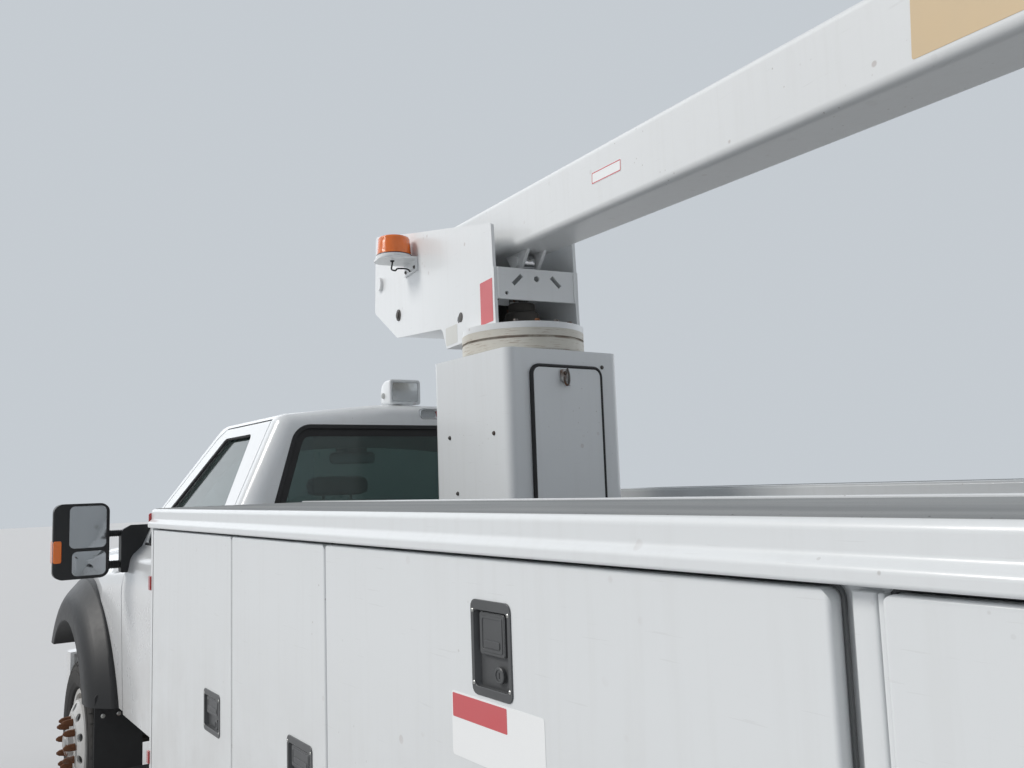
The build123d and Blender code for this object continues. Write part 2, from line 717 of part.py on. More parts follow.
def side_pack():
    front, rear = BODY_FRONT_X, BODY_REAR_X
    wall = PACK_WALL
    pack = block(rear, front, PACK_IN, DOOR_SEAT_Y, PACK_BOTTOM, RAIL_BOTTOM)
    # The wheel's bay takes the pack's lower part from door 2 to door 4
    bay_front = front - DOOR_2_REAR - wall / 2
    bay_rear = front - (DOOR_3_REAR + DOOR_4_FRONT) / 2 + wall / 2
    pack -= block(bay_rear, bay_front, PACK_IN + wall, PACK_OUT, 0, DROP_DOOR_BOTTOM - wall)
    pack -= block(bay_rear, bay_front, 0, PACK_OUT, 0, CARGO_FLOOR_TOP - CARGO_FLOOR_THICKNESS)
    # Each compartment is open to its own door
    partitions = [0, DOOR_1_REAR, DOOR_2_REAR, (DOOR_3_REAR + DOOR_4_FRONT) / 2, BODY_LENGTH]
    for index, (name, _, _, door_bottom, hinge) in enumerate(PACK_DOORS):
        x1 = front - partitions[index] - (wall if index == 0 else wall / 2)
        x0 = front - partitions[index + 1] + (wall if index == 3 else wall / 2)
        bottom = door_bottom if hinge == "bottom" else PACK_BOTTOM + wall
        pack -= block(x0, x1, PACK_IN + wall, PACK_OUT, bottom, RAIL_BOTTOM - wall)
    # Corner posts and the sill stand out to the doors' outer face
    for x0, x1 in ((front - CORNER_POST, front), (rear, rear + CORNER_POST)):
        pack += block(x0, x1, DOOR_SEAT_Y - SINK, PACK_OUT, PACK_BOTTOM, RAIL_BOTTOM)
    for x0, x1 in ((bay_front + wall, front), (rear, bay_rear - wall)):
        pack += block(x0, x1, DOOR_SEAT_Y - 20, PACK_OUT, PACK_BOTTOM, SILL_TOP)
    return pack + rail_cap()


def rail_cap():
    # The top rail stands out over the doors as a flat drip lip, and is rounded above it
    section = [(PACK_IN, RAIL_BOTTOM), (PACK_OUT + RAIL_LIP, RAIL_BOTTOM, 5),
               (PACK_OUT + RAIL_LIP, RAIL_BOTTOM + 17, 9), (PACK_OUT, RAIL_BOTTOM + 27, 9),
               (PACK_OUT, RAIL_TOP, 12), (PACK_IN, RAIL_TOP, 4)]
    return prism_x(section, BODY_REAR_X, BODY_FRONT_X)


def arch_panel():
    x1 = BODY_FRONT_X - DOOR_2_REAR - RUNNING_GAP / 2
    x0 = BODY_FRONT_X - DOOR_3_REAR
    top = DROP_DOOR_BOTTOM - RUNNING_GAP
    panel = block(x0, x1, DOOR_SEAT_Y, PACK_OUT, PACK_BOTTOM, top)
    lip = [(REAR_ARCH_R - 2, -20), (REAR_ARCH_R - 2, 14, 5), (REAR_ARCH_R + REAR_ARCH_LIP, 14, 12),
           (REAR_ARCH_R + REAR_ARCH_LIP, -20)]
    panel += revolved(REAR_AXLE_X, PACK_OUT, REAR_ARCH_Z, lip)
    liner = rear_arch(REAR_ARCH_R + 14, PACK_IN + PACK_WALL + SINK, PACK_OUT - 10)
    limits = block(x0, x1, 0, PACK_OUT + 20, PACK_BOTTOM, DROP_DOOR_BOTTOM - PACK_WALL)
    return ((panel + liner) & limits) - rear_arch(REAR_ARCH_R, 0, PACK_OUT + 40)


def pack_door(row):
    name, front, rear, bottom, _ = row
    x1, x0 = BODY_FRONT_X - front, BODY_FRONT_X - rear
    inner, outer = PACK_OUT - DOOR_THICKNESS, PACK_OUT
    door = prism_y(rounded((x0, bottom), (x1, BODY_DOOR_TOP), DOOR_CORNER_R), inner, outer)
    plan = [(x0, inner), (x1, inner), (x1, outer, DOOR_EDGE_R), (x0, outer, DOOR_EDGE_R)]
    door &= prism_z(plan, bottom, BODY_DOOR_TOP)
    door &= prism_x([(inner, bottom), (outer, bottom, DOOR_EDGE_R), (outer, BODY_DOOR_TOP, DOOR_EDGE_R),
                     (inner, BODY_DOOR_TOP)], x0, x1)
    # The latch is a sunk tray with a paddle in its upper part and a key cylinder in its lower corner
    back, height, width, tall = LATCHES[name]
    x = BODY_FRONT_X - back
    half_w, half_h = width / 2 - LATCH_RIM, tall / 2 - LATCH_RIM
    floor = PACK_OUT - LATCH_DEPTH
    tray = rounded((x - half_w, height - half_h), (x + half_w, height + half_h), LATCH_CORNER_R)
    door -= prism_y(tray, floor, PACK_OUT + 1)
    paddle_low = height - half_h * 0.15
    paddle = rounded((x - half_w + 12, paddle_low), (x + half_w - 12, height + half_h - 10),
                     LATCH_CORNER_R / 2)
    door += prism_y(paddle, floor - SINK, PACK_OUT - 2)
    door += rod_y(x - half_w + 30, floor - SINK, PACK_OUT - 3, (paddle_low + height - half_h) / 2, KEY_R)
    return door


def cargo_floor():
    bottom = CARGO_FLOOR_TOP - CARGO_FLOOR_THICKNESS
    floor = block(BODY_REAR_X, BODY_FRONT_X, -PACK_IN, PACK_IN, bottom, CARGO_FLOOR_TOP)
    floor += block(BODY_FRONT_X - PACK_WALL, BODY_FRONT_X, -PACK_IN, PACK_IN, bottom, RAIL_BOTTOM)
    sill = block(BODY_REAR_X, BODY_FRONT_X, FRAME_HALF_WIDTH - FRAME_FLANGE, FRAME_HALF_WIDTH,
                 FRAME_TOP, bottom)
    return floor + both_sides(sill)


def tail_shelf():
    top = CARGO_FLOOR_TOP
    bumper_x = TAIL_X + SHELF_BUMPER_DEPTH
    shelf = block(bumper_x - SINK, BODY_REAR_X, -PACK_OUT, PACK_OUT, top - SHELF_THICKNESS, top)
    shelf += prism_y([(TAIL_X, top - SHELF_BUMPER_DROP, 8), (bumper_x, top - SHELF_BUMPER_DROP),
                      (bumper_x, top), (TAIL_X, top, 14)], -PACK_OUT, PACK_OUT)
    sill = block(bumper_x, BODY_REAR_X, FRAME_HALF_WIDTH - FRAME_FLANGE, FRAME_HALF_WIDTH,
                 FRAME_TOP, top - SHELF_THICKNESS)
    # The hitch plate hangs from the tail bumper against the frame's end, drilled for a pintle hook
    hitch = block(bumper_x, FRAME_REAR_X - SEAT_GAP, -FRAME_HALF_WIDTH, FRAME_HALF_WIDTH, HITCH_BOTTOM,
                  top - SHELF_THICKNESS)
    for y in (-HITCH_HOLES_Y / 2, HITCH_HOLES_Y / 2):
        for z in (HITCH_Z - HITCH_HOLES_Z / 2, HITCH_Z + HITCH_HOLES_Z / 2):
            hitch -= rod_x(bumper_x - 10, FRAME_REAR_X + 10, y, z, HITCH_HOLE_R)
    low = top - SHELF_BUMPER_DROP - 140
    lamp_box = prism_x(rounded((PACK_OUT - 300, low), (PACK_OUT - 20, top - SHELF_BUMPER_DROP + SINK), 12),
                       TAIL_X + 14, TAIL_X + 110)
    return shelf + both_sides(sill) + hitch + both_sides(lamp_box)


def tail_lamps():
    x1 = TAIL_X + 14 - SEAT_GAP
    return [rod_x(TAIL_X, x1, y, CARGO_FLOOR_TOP - TAIL_LAMP_DROP, TAIL_LAMP_R)
            for y in (PACK_OUT - 240, PACK_OUT - 90)]


# Cab

def windscreen_drum(inset):
    # The windscreen is bowed across, as part of a large leaning drum whose foremost line runs from
    # the middle of the cowl up to the middle of the roof's front edge
    rise, run = HEADER_Z - COWL_Z, COWL_X - HEADER_X
    length = hypot(rise, run)
    x = (COWL_X + HEADER_X) / 2 - WINDSCREEN_BOW_R * rise / length
    z = (COWL_Z + HEADER_Z) / 2 - WINDSCREEN_BOW_R * run / length
    plane = Plane(origin=(x, 0, z), x_dir=(0, 1, 0), z_dir=(-run, 0, rise))
    return extrude(plane * Circle(WINDSCREEN_BOW_R - inset), amount=CAB_WIDTH, both=True)


def cab_form(side, roof, back, front, floor, corner=0):
    # The cab's outside, drawn in by a thickness on each side. Its cross-section, its side view and the
    # windscreen's drum cut one another, and corner rounds the edges round its back
    half = CAB_HALF - side
    tuck = (CAB_WIDEST_Z - floor) * CAB_TUCK
    section = symmetric([(half - tuck, floor), (half, CAB_WIDEST_Z, 400), (half - 26, SHOULDER_Z, 60),
                         (half - 74, BELT_Z), (ROOF_HALF_WIDTH - side * 0.8, ROOF_EDGE_Z - roof, 60),
                         (ROOF_HALF_WIDTH * 0.42, ROOF_CROWN_Z - roof, 800)])
    x0, x1 = CAB_BACK_X + back, COWL_X - front
    profile = [(x0, floor), (x1 - 200, floor), (x1, floor + 200), (x1, ROOF_EDGE_Z + 2 - roof),
               (HEADER_X, ROOF_EDGE_Z + 2 - roof), (HEADER_X - 170, ROOF_CROWN_Z - 11 - roof, 500),
               (HEADER_X - 430, ROOF_CROWN_Z + 3 - roof, 1500), (x0, ROOF_CROWN_Z + 3 - roof)]
    form = prism_x(section, 0, COWL_X + 50) & prism_y(profile, -CAB_HALF, CAB_HALF)
    form &= windscreen_drum(front)
    if corner:
        back_face = form.faces().sort_by(Axis.X)[0]
        form = fillet([edge for edge in back_face.edges() if edge.center().Z > floor + 1], corner)
    return form


def cab_inside(gap):
    return cab_form(CAB_WALL + gap, CAB_ROOF_THICKNESS + gap, CAB_BACK_THICKNESS + gap, COWL_WALL + gap,
                    CAB_FLOOR_BOTTOM + CAB_FLOOR_THICKNESS + gap, CAB_CORNER_R - CAB_BACK_THICKNESS)


def cab_door_outline(grow):
    # The front edge leans forward below the belt, and the window frame follows the windscreen pillar
    front, rear = CAB_DOOR_FRONT_X + grow, CAB_DOOR_REAR_X - grow
    return [(rear, CAB_DOOR_BOTTOM - grow), (front + 30, CAB_DOOR_BOTTOM - grow), (front, CAB_WIDEST_Z),
            (front, BELT_Z + 59 + grow * 0.5, 30), (HEADER_X - 132 + grow * 0.6, 1895 + grow * 0.8, 60),
            (HEADER_X - 217, 1935 + grow), (rear, 1935 + grow)]


def window_outline(grow):
    front, rear = CAB_DOOR_FRONT_X - 116 + grow, CAB_DOOR_REAR_X - grow
    return [(rear + 88, WINDOW_BOTTOM - grow, 20), (front, WINDOW_BOTTOM - grow, 20),
            (front, WINDOW_BOTTOM + 48, 20), (HEADER_X - 252 + grow, WINDOW_TOP + grow, 60),
            (rear + 162, WINDOW_TOP + grow, 30), (rear + 114, 1620)]


def rear_window(grow, x0, x1):
    half = [(765 + grow, REAR_WINDOW_BOTTOM - grow, 45), (654 + grow, REAR_WINDOW_TOP + grow, 75)]
    return prism_x(symmetric(half), x0, x1)


def windscreen_prism(grow, depth):
    # A trapezium in the slope of the windscreen, from the cowl up to the roof's front edge
    rise, run = HEADER_Z - COWL_Z, COWL_X - HEADER_X
    plane = Plane(origin=(COWL_X, 0, COWL_Z), x_dir=(0, 1, 0), z_dir=(rise, 0, run))
    half = [(840 + grow, 40 - grow, 60), (620 + grow, hypot(rise, run) - 60 + grow, 70)]
    return extrude(plane * outline(symmetric(half)), amount=depth, both=True)


def cab_shell():
    shell = cab_form(0, 0, 0, 0, CAB_FLOOR_BOTTOM, CAB_CORNER_R) - cab_inside(0)
    inner_y = CAB_HALF - CAB_WALL - ROCKER_WIDTH
    rocker_y = CAB_HALF - CAB_DOOR_THICKNESS - RUNNING_GAP - 14
    rocker = block(CAB_BACK_X, CAB_DOOR_FRONT_X - 40, inner_y, rocker_y,
                   ROCKER_BOTTOM, CAB_FLOOR_BOTTOM + SINK)
    corner = [(CAB_BACK_X, inner_y), (CAB_DOOR_REAR_X - RUNNING_GAP, inner_y),
              (CAB_DOOR_REAR_X - RUNNING_GAP, CAB_HALF - 16), (CAB_BACK_X, CAB_HALF - 16, CAB_CORNER_R)]
    shell += both_sides(rocker + prism_z(corner, ROCKER_BOTTOM, CAB_FLOOR_BOTTOM + SINK))
    # The fenders cover the cowl's sides, so the cab is narrower ahead of its doors
    covered = block(CAB_DOOR_FRONT_X + RUNNING_GAP, COWL_X + 10, CAB_HALF - 130, CAB_HALF + 10, 0, BELT_Z)
    shell -= both_sides(covered & fender_form(-RUNNING_GAP))
    limits = block(CAB_BACK_X, COWL_X, 0, CAB_HALF + 50, 0, ROOF_CROWN_Z + 50)
    opening = prism_y(cab_door_outline(RUNNING_GAP), CAB_HALF - 400, CAB_HALF + 40)
    opening &= limits - cab_form(CAB_DOOR_THICKNESS + SEAT_GAP, 0, 0, 0, 0)
    floor_top = CAB_FLOOR_BOTTOM + CAB_FLOOR_THICKNESS
    way_in = prism_y(cab_door_outline(-46), CAB_HALF - 500, CAB_HALF + 40)
    way_in &= block(CAB_BACK_X, COWL_X, 0, CAB_HALF + 50, floor_top + 20, ROOF_CROWN_Z)
    shell -= both_sides(opening)
    shell -= both_sides(way_in)
    # The cowl panel reaches forward from under the windscreen, with the brackets for the hood's pins
    cowl = block(COWL_X - 330, COWL_X, -COWL_HALF_WIDTH, COWL_HALF_WIDTH, COWL_Z - 60, COWL_Z - 12)
    front_reach = HOOD_HALF_WIDTH - 4
    cowl += block(COWL_X - SINK, COWL_X + 30, -front_reach, front_reach, COWL_Z - 60, COWL_Z - 12)
    shell += cowl - cab_inside(0)
    eye = HOOD_PIN_R + 5
    for side in (-1, 1):
        y = side * HOOD_HINGE_Y
        shell += block(COWL_X + 29, HOOD_HINGE_X + 10, y - 8, y + 8, HOOD_HINGE_Z - 45, HOOD_HINGE_Z - 24)
        shell += block(HOOD_HINGE_X - 10, HOOD_HINGE_X + 10, y - 8, y + 8, HOOD_HINGE_Z - 25, HOOD_HINGE_Z)
        shell += rod_y(HOOD_HINGE_X, y - 8, y + 8, HOOD_HINGE_Z, eye)
        shell += rod_y(HOOD_HINGE_X, y - 34, y + 34, HOOD_HINGE_Z, HOOD_PIN_R)
    shell -= rear_window(0, CAB_BACK_X - 10, CAB_BACK_X + 110)
    return shell - windscreen_prism(0, 300)


def windscreen():
    layer = windscreen_drum(GLASS_DEPTH) - windscreen_drum(GLASS_DEPTH + GLASS)
    return windscreen_prism(-SEAT_GAP, 250) & layer


def rear_glass():
    return rear_window(-SEAT_GAP, CAB_BACK_X + GLASS_DEPTH, CAB_BACK_X + GLASS_DEPTH + GLASS)


def cab_door():
    door = prism_y(cab_door_outline(0), CAB_HALF - 400, CAB_HALF + 40)
    inside = cab_form(CAB_DOOR_THICKNESS, 0, 0, 0, CAB_DOOR_BOTTOM - 60)
    door &= cab_form(0, 0, 0, 0, CAB_DOOR_BOTTOM - 40) - inside
    return door - prism_y(window_outline(0), CAB_HALF - 500, CAB_HALF + 40)


def door_glass():
    pane = prism_y(window_outline(-SEAT_GAP), CAB_HALF - 400, CAB_HALF + 40)
    middle = CAB_DOOR_THICKNESS / 2
    pane &= cab_form(middle - GLASS / 2, 0, 0, 0, CAB_FLOOR_BOTTOM)
    return pane - cab_form(middle + GLASS / 2, 0, 0, 0, CAB_FLOOR_BOTTOM - 5)


def mirror_head():
    # A bulged shell with a flat glass over a smaller wide-angle one, both sunk into its rear face
    x0 = MIRROR_X - 30
    head = prism_x(rounded((MIRROR_IN_Y, MIRROR_BOTTOM), (MIRROR_OUT_Y, MIRROR_TOP), 42), x0, x0 + 92)
    plan = [(x0, MIRROR_IN_Y, 8), (x0, MIRROR_OUT_Y, 8), (x0 + 52, MIRROR_OUT_Y, 34), (x0 + 92, 1205, 120),
            (x0 + 70, MIRROR_IN_Y, 26)]
    head &= prism_z(plan, MIRROR_BOTTOM, MIRROR_TOP)
    y0 = MIRROR_IN_Y + 12
    recesses = ((MIRROR_BOTTOM + 10, MIRROR_GLASS_SPLIT - 4, 1242),
                (MIRROR_GLASS_SPLIT + 4, MIRROR_TOP - 8, 1254))
    for low, high, y1 in recesses:
        head -= prism_x(rounded((y0, low), (y1, high), 26), x0 - 1, x0 + 4)
    for z, radius in ((MIRROR_BOTTOM + 50, 14), (MIRROR_BOTTOM + 190, 11)):
        head += rod_y(MIRROR_X + 18, CAB_HALF + 4, MIRROR_IN_Y + 10, z, radius)
    foot = prism_x([(CAB_HALF - 116, 1322), (CAB_HALF + 16, 1322, 8), (CAB_HALF + 16, 1512, 30),
                    (CAB_HALF - 60, 1556, 20), (CAB_HALF - 160, 1556)], MIRROR_X - 8, MIRROR_X + 46)
    foot &= prism_y(cab_door_outline(-RUNNING_GAP), CAB_HALF - 400, CAB_HALF + 40)
    return head + (foot - cab_form(-SEAT_GAP, 0, 0, 0, CAB_FLOOR_BOTTOM))


def seat():
    half = SEAT_HALF_WIDTH
    cushion = prism_y([(CAB_BACK_X + 160, 1040), (CAB_BACK_X + 640, 1040, 20), (CAB_BACK_X + 640, 1180, 50),
                       (CAB_BACK_X + 160, 1165)], -half, half)
    back = prism_y([(CAB_BACK_X + 150, 1100), (CAB_BACK_X + 290, 1100), (CAB_BACK_X + 200, 1720, 40),
                    (CAB_BACK_X + 70, 1720, 40)], -half, half)
    base = block(CAB_BACK_X + 190, CAB_BACK_X + 600, 80 - half, half - 80,
                 CAB_FLOOR_BOTTOM + CAB_FLOOR_THICKNESS, 1041)
    return cushion + back + base


def dashboard():
    front = COWL_X - COWL_WALL - SEAT_GAP
    dash = prism_y([(front, 1080), (front, 1400), (front - 180, 1420, 40), (front - 330, 1370, 50),
                    (front - 300, 1180, 60), (front - 150, 1080)], -CAB_HALF + 180, CAB_HALF - 180)
    dash &= cab_inside(SEAT_GAP)
    wheel = Torus(STEERING_R, 15) + Cylinder(48, 30) + Box(2 * STEERING_R - 10, 34, 16)
    wheel += Pos(0, -STEERING_R / 2, 0) * Box(30, STEERING_R - 10, 16)
    wheel = Pos(*WHEEL_HUB) * Rot(0, -90 + STEERING_TILT, 0) * wheel
    column = rod_between(WHEEL_HUB, (front - 160, WHEEL_HUB[1], 1260), 26)
    return dash + wheel + column


def work_lamp():
    # A housing on the roof that tapers forward from the lens in its rear face
    x0, x1 = WORK_LAMP_X, WORK_LAMP_X + 150
    y0, y1 = WORK_LAMP_Y
    z0, z1 = WORK_LAMP_Z
    side = [(x0, z0, 10), (x0, z1, 14), (x0 + 80, z1 - 4, 30), (x1, z1 - 50, 24), (x1, z0 + 8, 10)]
    plan = [(x0, y0, 12), (x1, y0 + 26, 28), (x1, y1 - 26, 28), (x0, y1, 12)]
    lamp = prism_y(side, y0, y1) & prism_z(plan, z0, z1)
    return lamp + rod_z(x0 + 70, (y0 + y1) / 2, ROOF_CROWN_Z + SEAT_GAP, z0 + 20, 22)


def brake_lamp():
    # A wide lamp on the roof's rounded rear edge, over the rear window
    half = BRAKE_LAMP_HALF_WIDTH
    lamp = prism_y([(CAB_BACK_X - 4, 1946), (CAB_BACK_X + 10, 1988, 8), (CAB_BACK_X + 80, 1988),
                    (CAB_BACK_X + 80, 1946)], -half, half)
    gap = SEAT_GAP
    return lamp - cab_form(-gap, -gap, -gap, -gap, CAB_FLOOR_BOTTOM, CAB_CORNER_R)


# Front end

def front_arch(radius, y0, y1):
    return rod_y(FRONT_AXLE_X, y0, y1, FRONT_ARCH_Z, radius)


def fender_form(inset):
    # The cross-section slopes down towards the front, and the side view and the plan view cut it
    rear, front = FENDER_REAR_X + inset, FENDER_FRONT_X - inset
    out, into = CAB_HALF - inset, FENDER_IN + inset
    tucked = out - (CAB_WIDEST_Z - 600) * CAB_TUCK
    section = [(into, 600), (tucked, 600), (out, CAB_WIDEST_Z - 5, 200), (out - 18, 1335 - inset, 100),
               (CAB_HALF - 126, 1412 - inset, 80), (into, FENDER_TOP_Z - inset)]
    length = FENDER_FRONT_X - FENDER_REAR_X
    plane = Plane.YZ.offset(FENDER_REAR_X - 20)
    form = extrude(plane * outline(section), amount=length + 60, dir=(1, 0, -FENDER_FALL))
    nose_top = FENDER_TOP_Z - FENDER_FALL * length + 4 - inset
    profile = [(rear + 32, FLARE_REAR_BOTTOM), (rear, CAB_WIDEST_Z), (rear, FENDER_TOP_Z + 4 - inset),
               (front, nose_top, 60), (front, BUMPER_TOP), (front - 260, FLARE_REAR_BOTTOM)]
    form &= prism_y(profile, into, out + 5)
    plan = [(rear, into), (rear, out + 2), (FRONT_AXLE_X - 430, out + 2, 1500),
            (FRONT_AXLE_X + 578, out - 58, 250), (front, out - 166, 60), (front, into)]
    return form & prism_z(plan, 500, 1500)


def fender():
    form = fender_form(0) - fender_form(FENDER_METAL)
    form -= block(FENDER_REAR_X - 5, COWL_X + RUNNING_GAP, FENDER_IN - 5, CAB_HALF - 120, 600, 1500)
    form -= front_arch(FRONT_ARCH_R, FENDER_IN - 10, CAB_HALF + 10)
    # The inner wall is open beside the wheel
    return form - block(FENDER_REAR_X + 60, FENDER_FRONT_X - FENDER_METAL, FENDER_IN - 10,
                        FENDER_IN + FENDER_METAL + 2, 0, 1000)


def fender_flare():
    # A convex shell turned round the arch, whose outer rim runs in to the fender's side
    r, lip, metal = FRONT_ARCH_R, FLARE_OUT_Y - CAB_HALF, FLARE_METAL
    section = [(r, lip - 34), (r, lip, 9), (r + 120, lip - 6, 160), (FLARE_R, 6, 20), (FLARE_R, -95),
               (FLARE_R - metal, -95), (FLARE_R - metal, 2, 12), (r + 114, lip - 6 - metal, 150),
               (r + metal, lip - metal), (r + metal, lip - 34)]
    flare = revolved(FRONT_AXLE_X, CAB_HALF, FRONT_ARCH_Z, section)
    limits = block(FENDER_REAR_X + 24, FRONT_AXLE_X, 0, FLARE_OUT_Y + 1, FLARE_REAR_BOTTOM, 1300)
    limits += block(FRONT_AXLE_X - 1, FENDER_FRONT_X, 0, FLARE_OUT_Y + 1, FLARE_FRONT_BOTTOM, 1300)
    # The rim's inner edge follows the fender, and a flange along the arch joins the lip to it
    ring = [(r, -95), (r, lip - 20), (r + metal, lip - 20), (r + metal, -95)]
    flange = revolved(FRONT_AXLE_X, CAB_HALF, FRONT_ARCH_Z, ring)
    return ((flare + flange) & limits) - fender_form(-SEAT_GAP)


def hood():
    # A crowned skin with a raised middle, cut to a rounded nose
    half = HOOD_HALF_WIDTH
    skin = [(half, -24), (half, 5, 28), (half - 215, 30, 120), (half - 300, 62, 120), (0, 68)]
    thin = HOOD_THICKNESS
    hollow = [(half - thin, -25), (half - thin, 5 - thin, 12), (half - 215, 30 - thin, 120),
              (half - 300, 62 - thin, 120), (0, 68 - thin)]
    length = HOOD_FRONT_X - HOOD_REAR_X
    fall = atan2(HOOD_REAR_Z - HOOD_FRONT_Z, length)
    slab = prism_x(symmetric(skin), 0, length / cos(fall))
    slab -= prism_x(symmetric(hollow), 30, length - 60)
    panel = Pos(HOOD_REAR_X, 0, HOOD_REAR_Z) * Rot(0, degrees(fall), 0) * slab
    side_view = [(HOOD_REAR_X - 20, 1200), (HOOD_FRONT_X, 1200),
                 (HOOD_FRONT_X, HOOD_FRONT_Z + 66, HOOD_NOSE_R), (HOOD_REAR_X - 20, HOOD_REAR_Z + 75)]
    panel &= prism_y(side_view, -half - 1, half + 1)
    # Ears under the skin take the hinge pins, and a hollow round each pin clears the cowl's bracket
    x, z = HOOD_HINGE_X, HOOD_HINGE_Z
    for side in (-1, 1):
        y = side * HOOD_HINGE_Y
        panel -= rod_y(x, y - 20, y + 20, z, HOOD_PIN_R + 11)
        panel -= block(HOOD_REAR_X - 5, x, y - 20, y + 20, z - 60, z + 2)
        for ear in (-1, 1):
            panel += block(x - 14, x + 30, y + ear * 22, y + ear * 34, z - 14, z + 16)
        panel -= rod_y(x, y - 40, y + 40, z, HOOD_PIN_R + SEAT_GAP)
    return panel


def front_panel():
    # Radiator support and grille surround between the fenders
    reach = FENDER_IN + FENDER_METAL / 2
    return block(HOOD_FRONT_X - 60, HOOD_FRONT_X, -reach, reach, FRAME_TOP + SEAT_GAP, HOOD_FRONT_Z - 34)


def grille():
    # A wide surround with bars across it, tied by slim uprights behind them
    x0 = HOOD_FRONT_X + SEAT_GAP
    x1 = x0 + GRILLE_DEPTH
    half, low, high, rim_width = GRILLE_HALF_WIDTH, GRILLE_BOTTOM, GRILLE_TOP, GRILLE_RIM
    frame = prism_x(rounded((-half, low), (half, high), 34), x0, x1)
    opening = rounded((-half + rim_width, low + rim_width), (half - rim_width, high - rim_width), 16)
    frame -= prism_x(opening, x0 - 1, x1 + 1)
    reach = half - rim_width + SINK
    pitch = (high - low - 2 * rim_width) / (GRILLE_BARS + 1)
    for index in range(GRILLE_BARS):
        z = low + rim_width + pitch * (index + 1)
        bar = [(x0 + 6, z - 16), (x1 - 8, z - 12, 8), (x1 - 8, z + 12, 8), (x0 + 6, z + 16)]
        frame += prism_y(bar, -reach, reach)
    for index in range(GRILLE_UPRIGHTS):
        y = (index + 1) * 2 * half / (GRILLE_UPRIGHTS + 1) - half
        frame += block(x0, x0 + 16, y - 5, y + 5, low + rim_width - SINK, high - rim_width + SINK)
    return frame


def headlamp():
    x0 = HOOD_FRONT_X + SEAT_GAP
    face = rounded((GRILLE_HALF_WIDTH + 6, HEADLAMP_BOTTOM), (HEADLAMP_OUT_Y, GRILLE_TOP), 40)
    front = prism_x(face, x0, x0 + 44)
    plan = [(x0, GRILLE_HALF_WIDTH), (x0 + 44, GRILLE_HALF_WIDTH), (x0 + 40, HEADLAMP_OUT_Y - 70, 120),
            (x0 + 8, HEADLAMP_OUT_Y), (x0, HEADLAMP_OUT_Y)]
    return front & prism_z(plan, HEADLAMP_BOTTOM, GRILLE_TOP)


def front_bumper():
    # Rounded in its plan view and its side view, and open below
    x1 = FRONT_X
    x0 = x1 - BUMPER_DEPTH
    plan = [(x0, -965), (x1 - 80, -985, 70), (x1, -600, 300), (x1, 600, 300), (x1 - 80, 985, 70), (x0, 965)]
    hollow = [(x0 - 10, -945), (x1 - 96, -950, 50), (x1 - 30, -580, 300), (x1 - 30, 580, 300),
              (x1 - 96, 950, 50), (x0 - 10, 945)]
    side_view = [(x0 - 5, BUMPER_BOTTOM), (x1 + 4, BUMPER_BOTTOM, 30), (x1 + 4, BUMPER_TOP, 30),
                 (x0 - 5, BUMPER_TOP)]
    bumper = prism_z(plan, BUMPER_BOTTOM - 5, BUMPER_TOP + 5)
    bumper &= prism_y(side_view, -1000, 1000)
    bumper -= prism_z(hollow, BUMPER_BOTTOM - 10, BUMPER_TOP - BUMPER_METAL)
    bracket = block(FRAME_FRONT_X, x1 - 29, FRAME_HALF_WIDTH - FRAME_FLANGE, FRAME_HALF_WIDTH, 640,
                    BUMPER_TOP - BUMPER_METAL + SINK)
    return bumper + both_sides(bracket)


def cab_step():
    board = rounded((CAB_HALF - 120, 470), (CAB_HALF + 30, 500), 12)
    step = prism_x(board, CAB_BACK_X + 200, CAB_DOOR_FRONT_X - 200)
    for x in (CAB_BACK_X + 300, CAB_DOOR_FRONT_X - 300):
        step += block(x - 20, x + 20, CAB_HALF - 140, CAB_HALF - 110, 470, ROCKER_BOTTOM)
    return step


# Pedestal, turret and boom

TURRET = Pos(PEDESTAL_X, 0, 0) * Rot(0, 0, TURRET_YAW)
BOOM = TURRET * Pos(BOOM_PIVOT_X, 0, BOOM_PIVOT_Z) * Rot(0, -BOOM_SLOPE, 0)


def pedestal():
    x, half, wall = PEDESTAL_X, PEDESTAL_HALF, PEDESTAL_WALL
    tube = prism_z(rounded((x - half, -half), (x + half, half), PEDESTAL_CORNER_R),
                   CARGO_FLOOR_TOP, PEDESTAL_TOP)
    inner = half - wall
    tube -= prism_z(rounded((x - inner, -inner), (x + inner, inner), PEDESTAL_CORNER_R - wall),
                    CARGO_FLOOR_TOP + wall, PEDESTAL_TOP - wall)
    flange = half + PEDESTAL_FLANGE
    tube += block(x - flange, x + flange, -flange, flange, CARGO_FLOOR_TOP, CARGO_FLOOR_TOP + 16)
    return tube - pedestal_door_form(-PEDESTAL_DOOR_LAP, x - half - 60, x - half + 60)


def pedestal_door_form(grow, x0, x1):
    half = PEDESTAL_DOOR_WIDTH / 2 + grow
    low, high = PEDESTAL_DOOR_BOTTOM - grow, PEDESTAL_DOOR_TOP + grow
    corner = max(PEDESTAL_DOOR_R + grow, 6)
    return prism_x(symmetric([(half, low), (half, high, corner)]), x0, x1)


def pedestal_door():
    # A plate over the opening, with its hook latch near the top
    face = PEDESTAL_X - PEDESTAL_HALF - SEAT_GAP
    outer = face - PEDESTAL_DOOR_THICKNESS
    door = pedestal_door_form(0, outer, face)
    door += prism_x(rounded((-13, 2000), (13, 2044), 8), outer - 8, outer + SINK)
    return door + prism_x(rounded((-6, 1992), (6, 2030), 5), outer - 16, outer - 7)


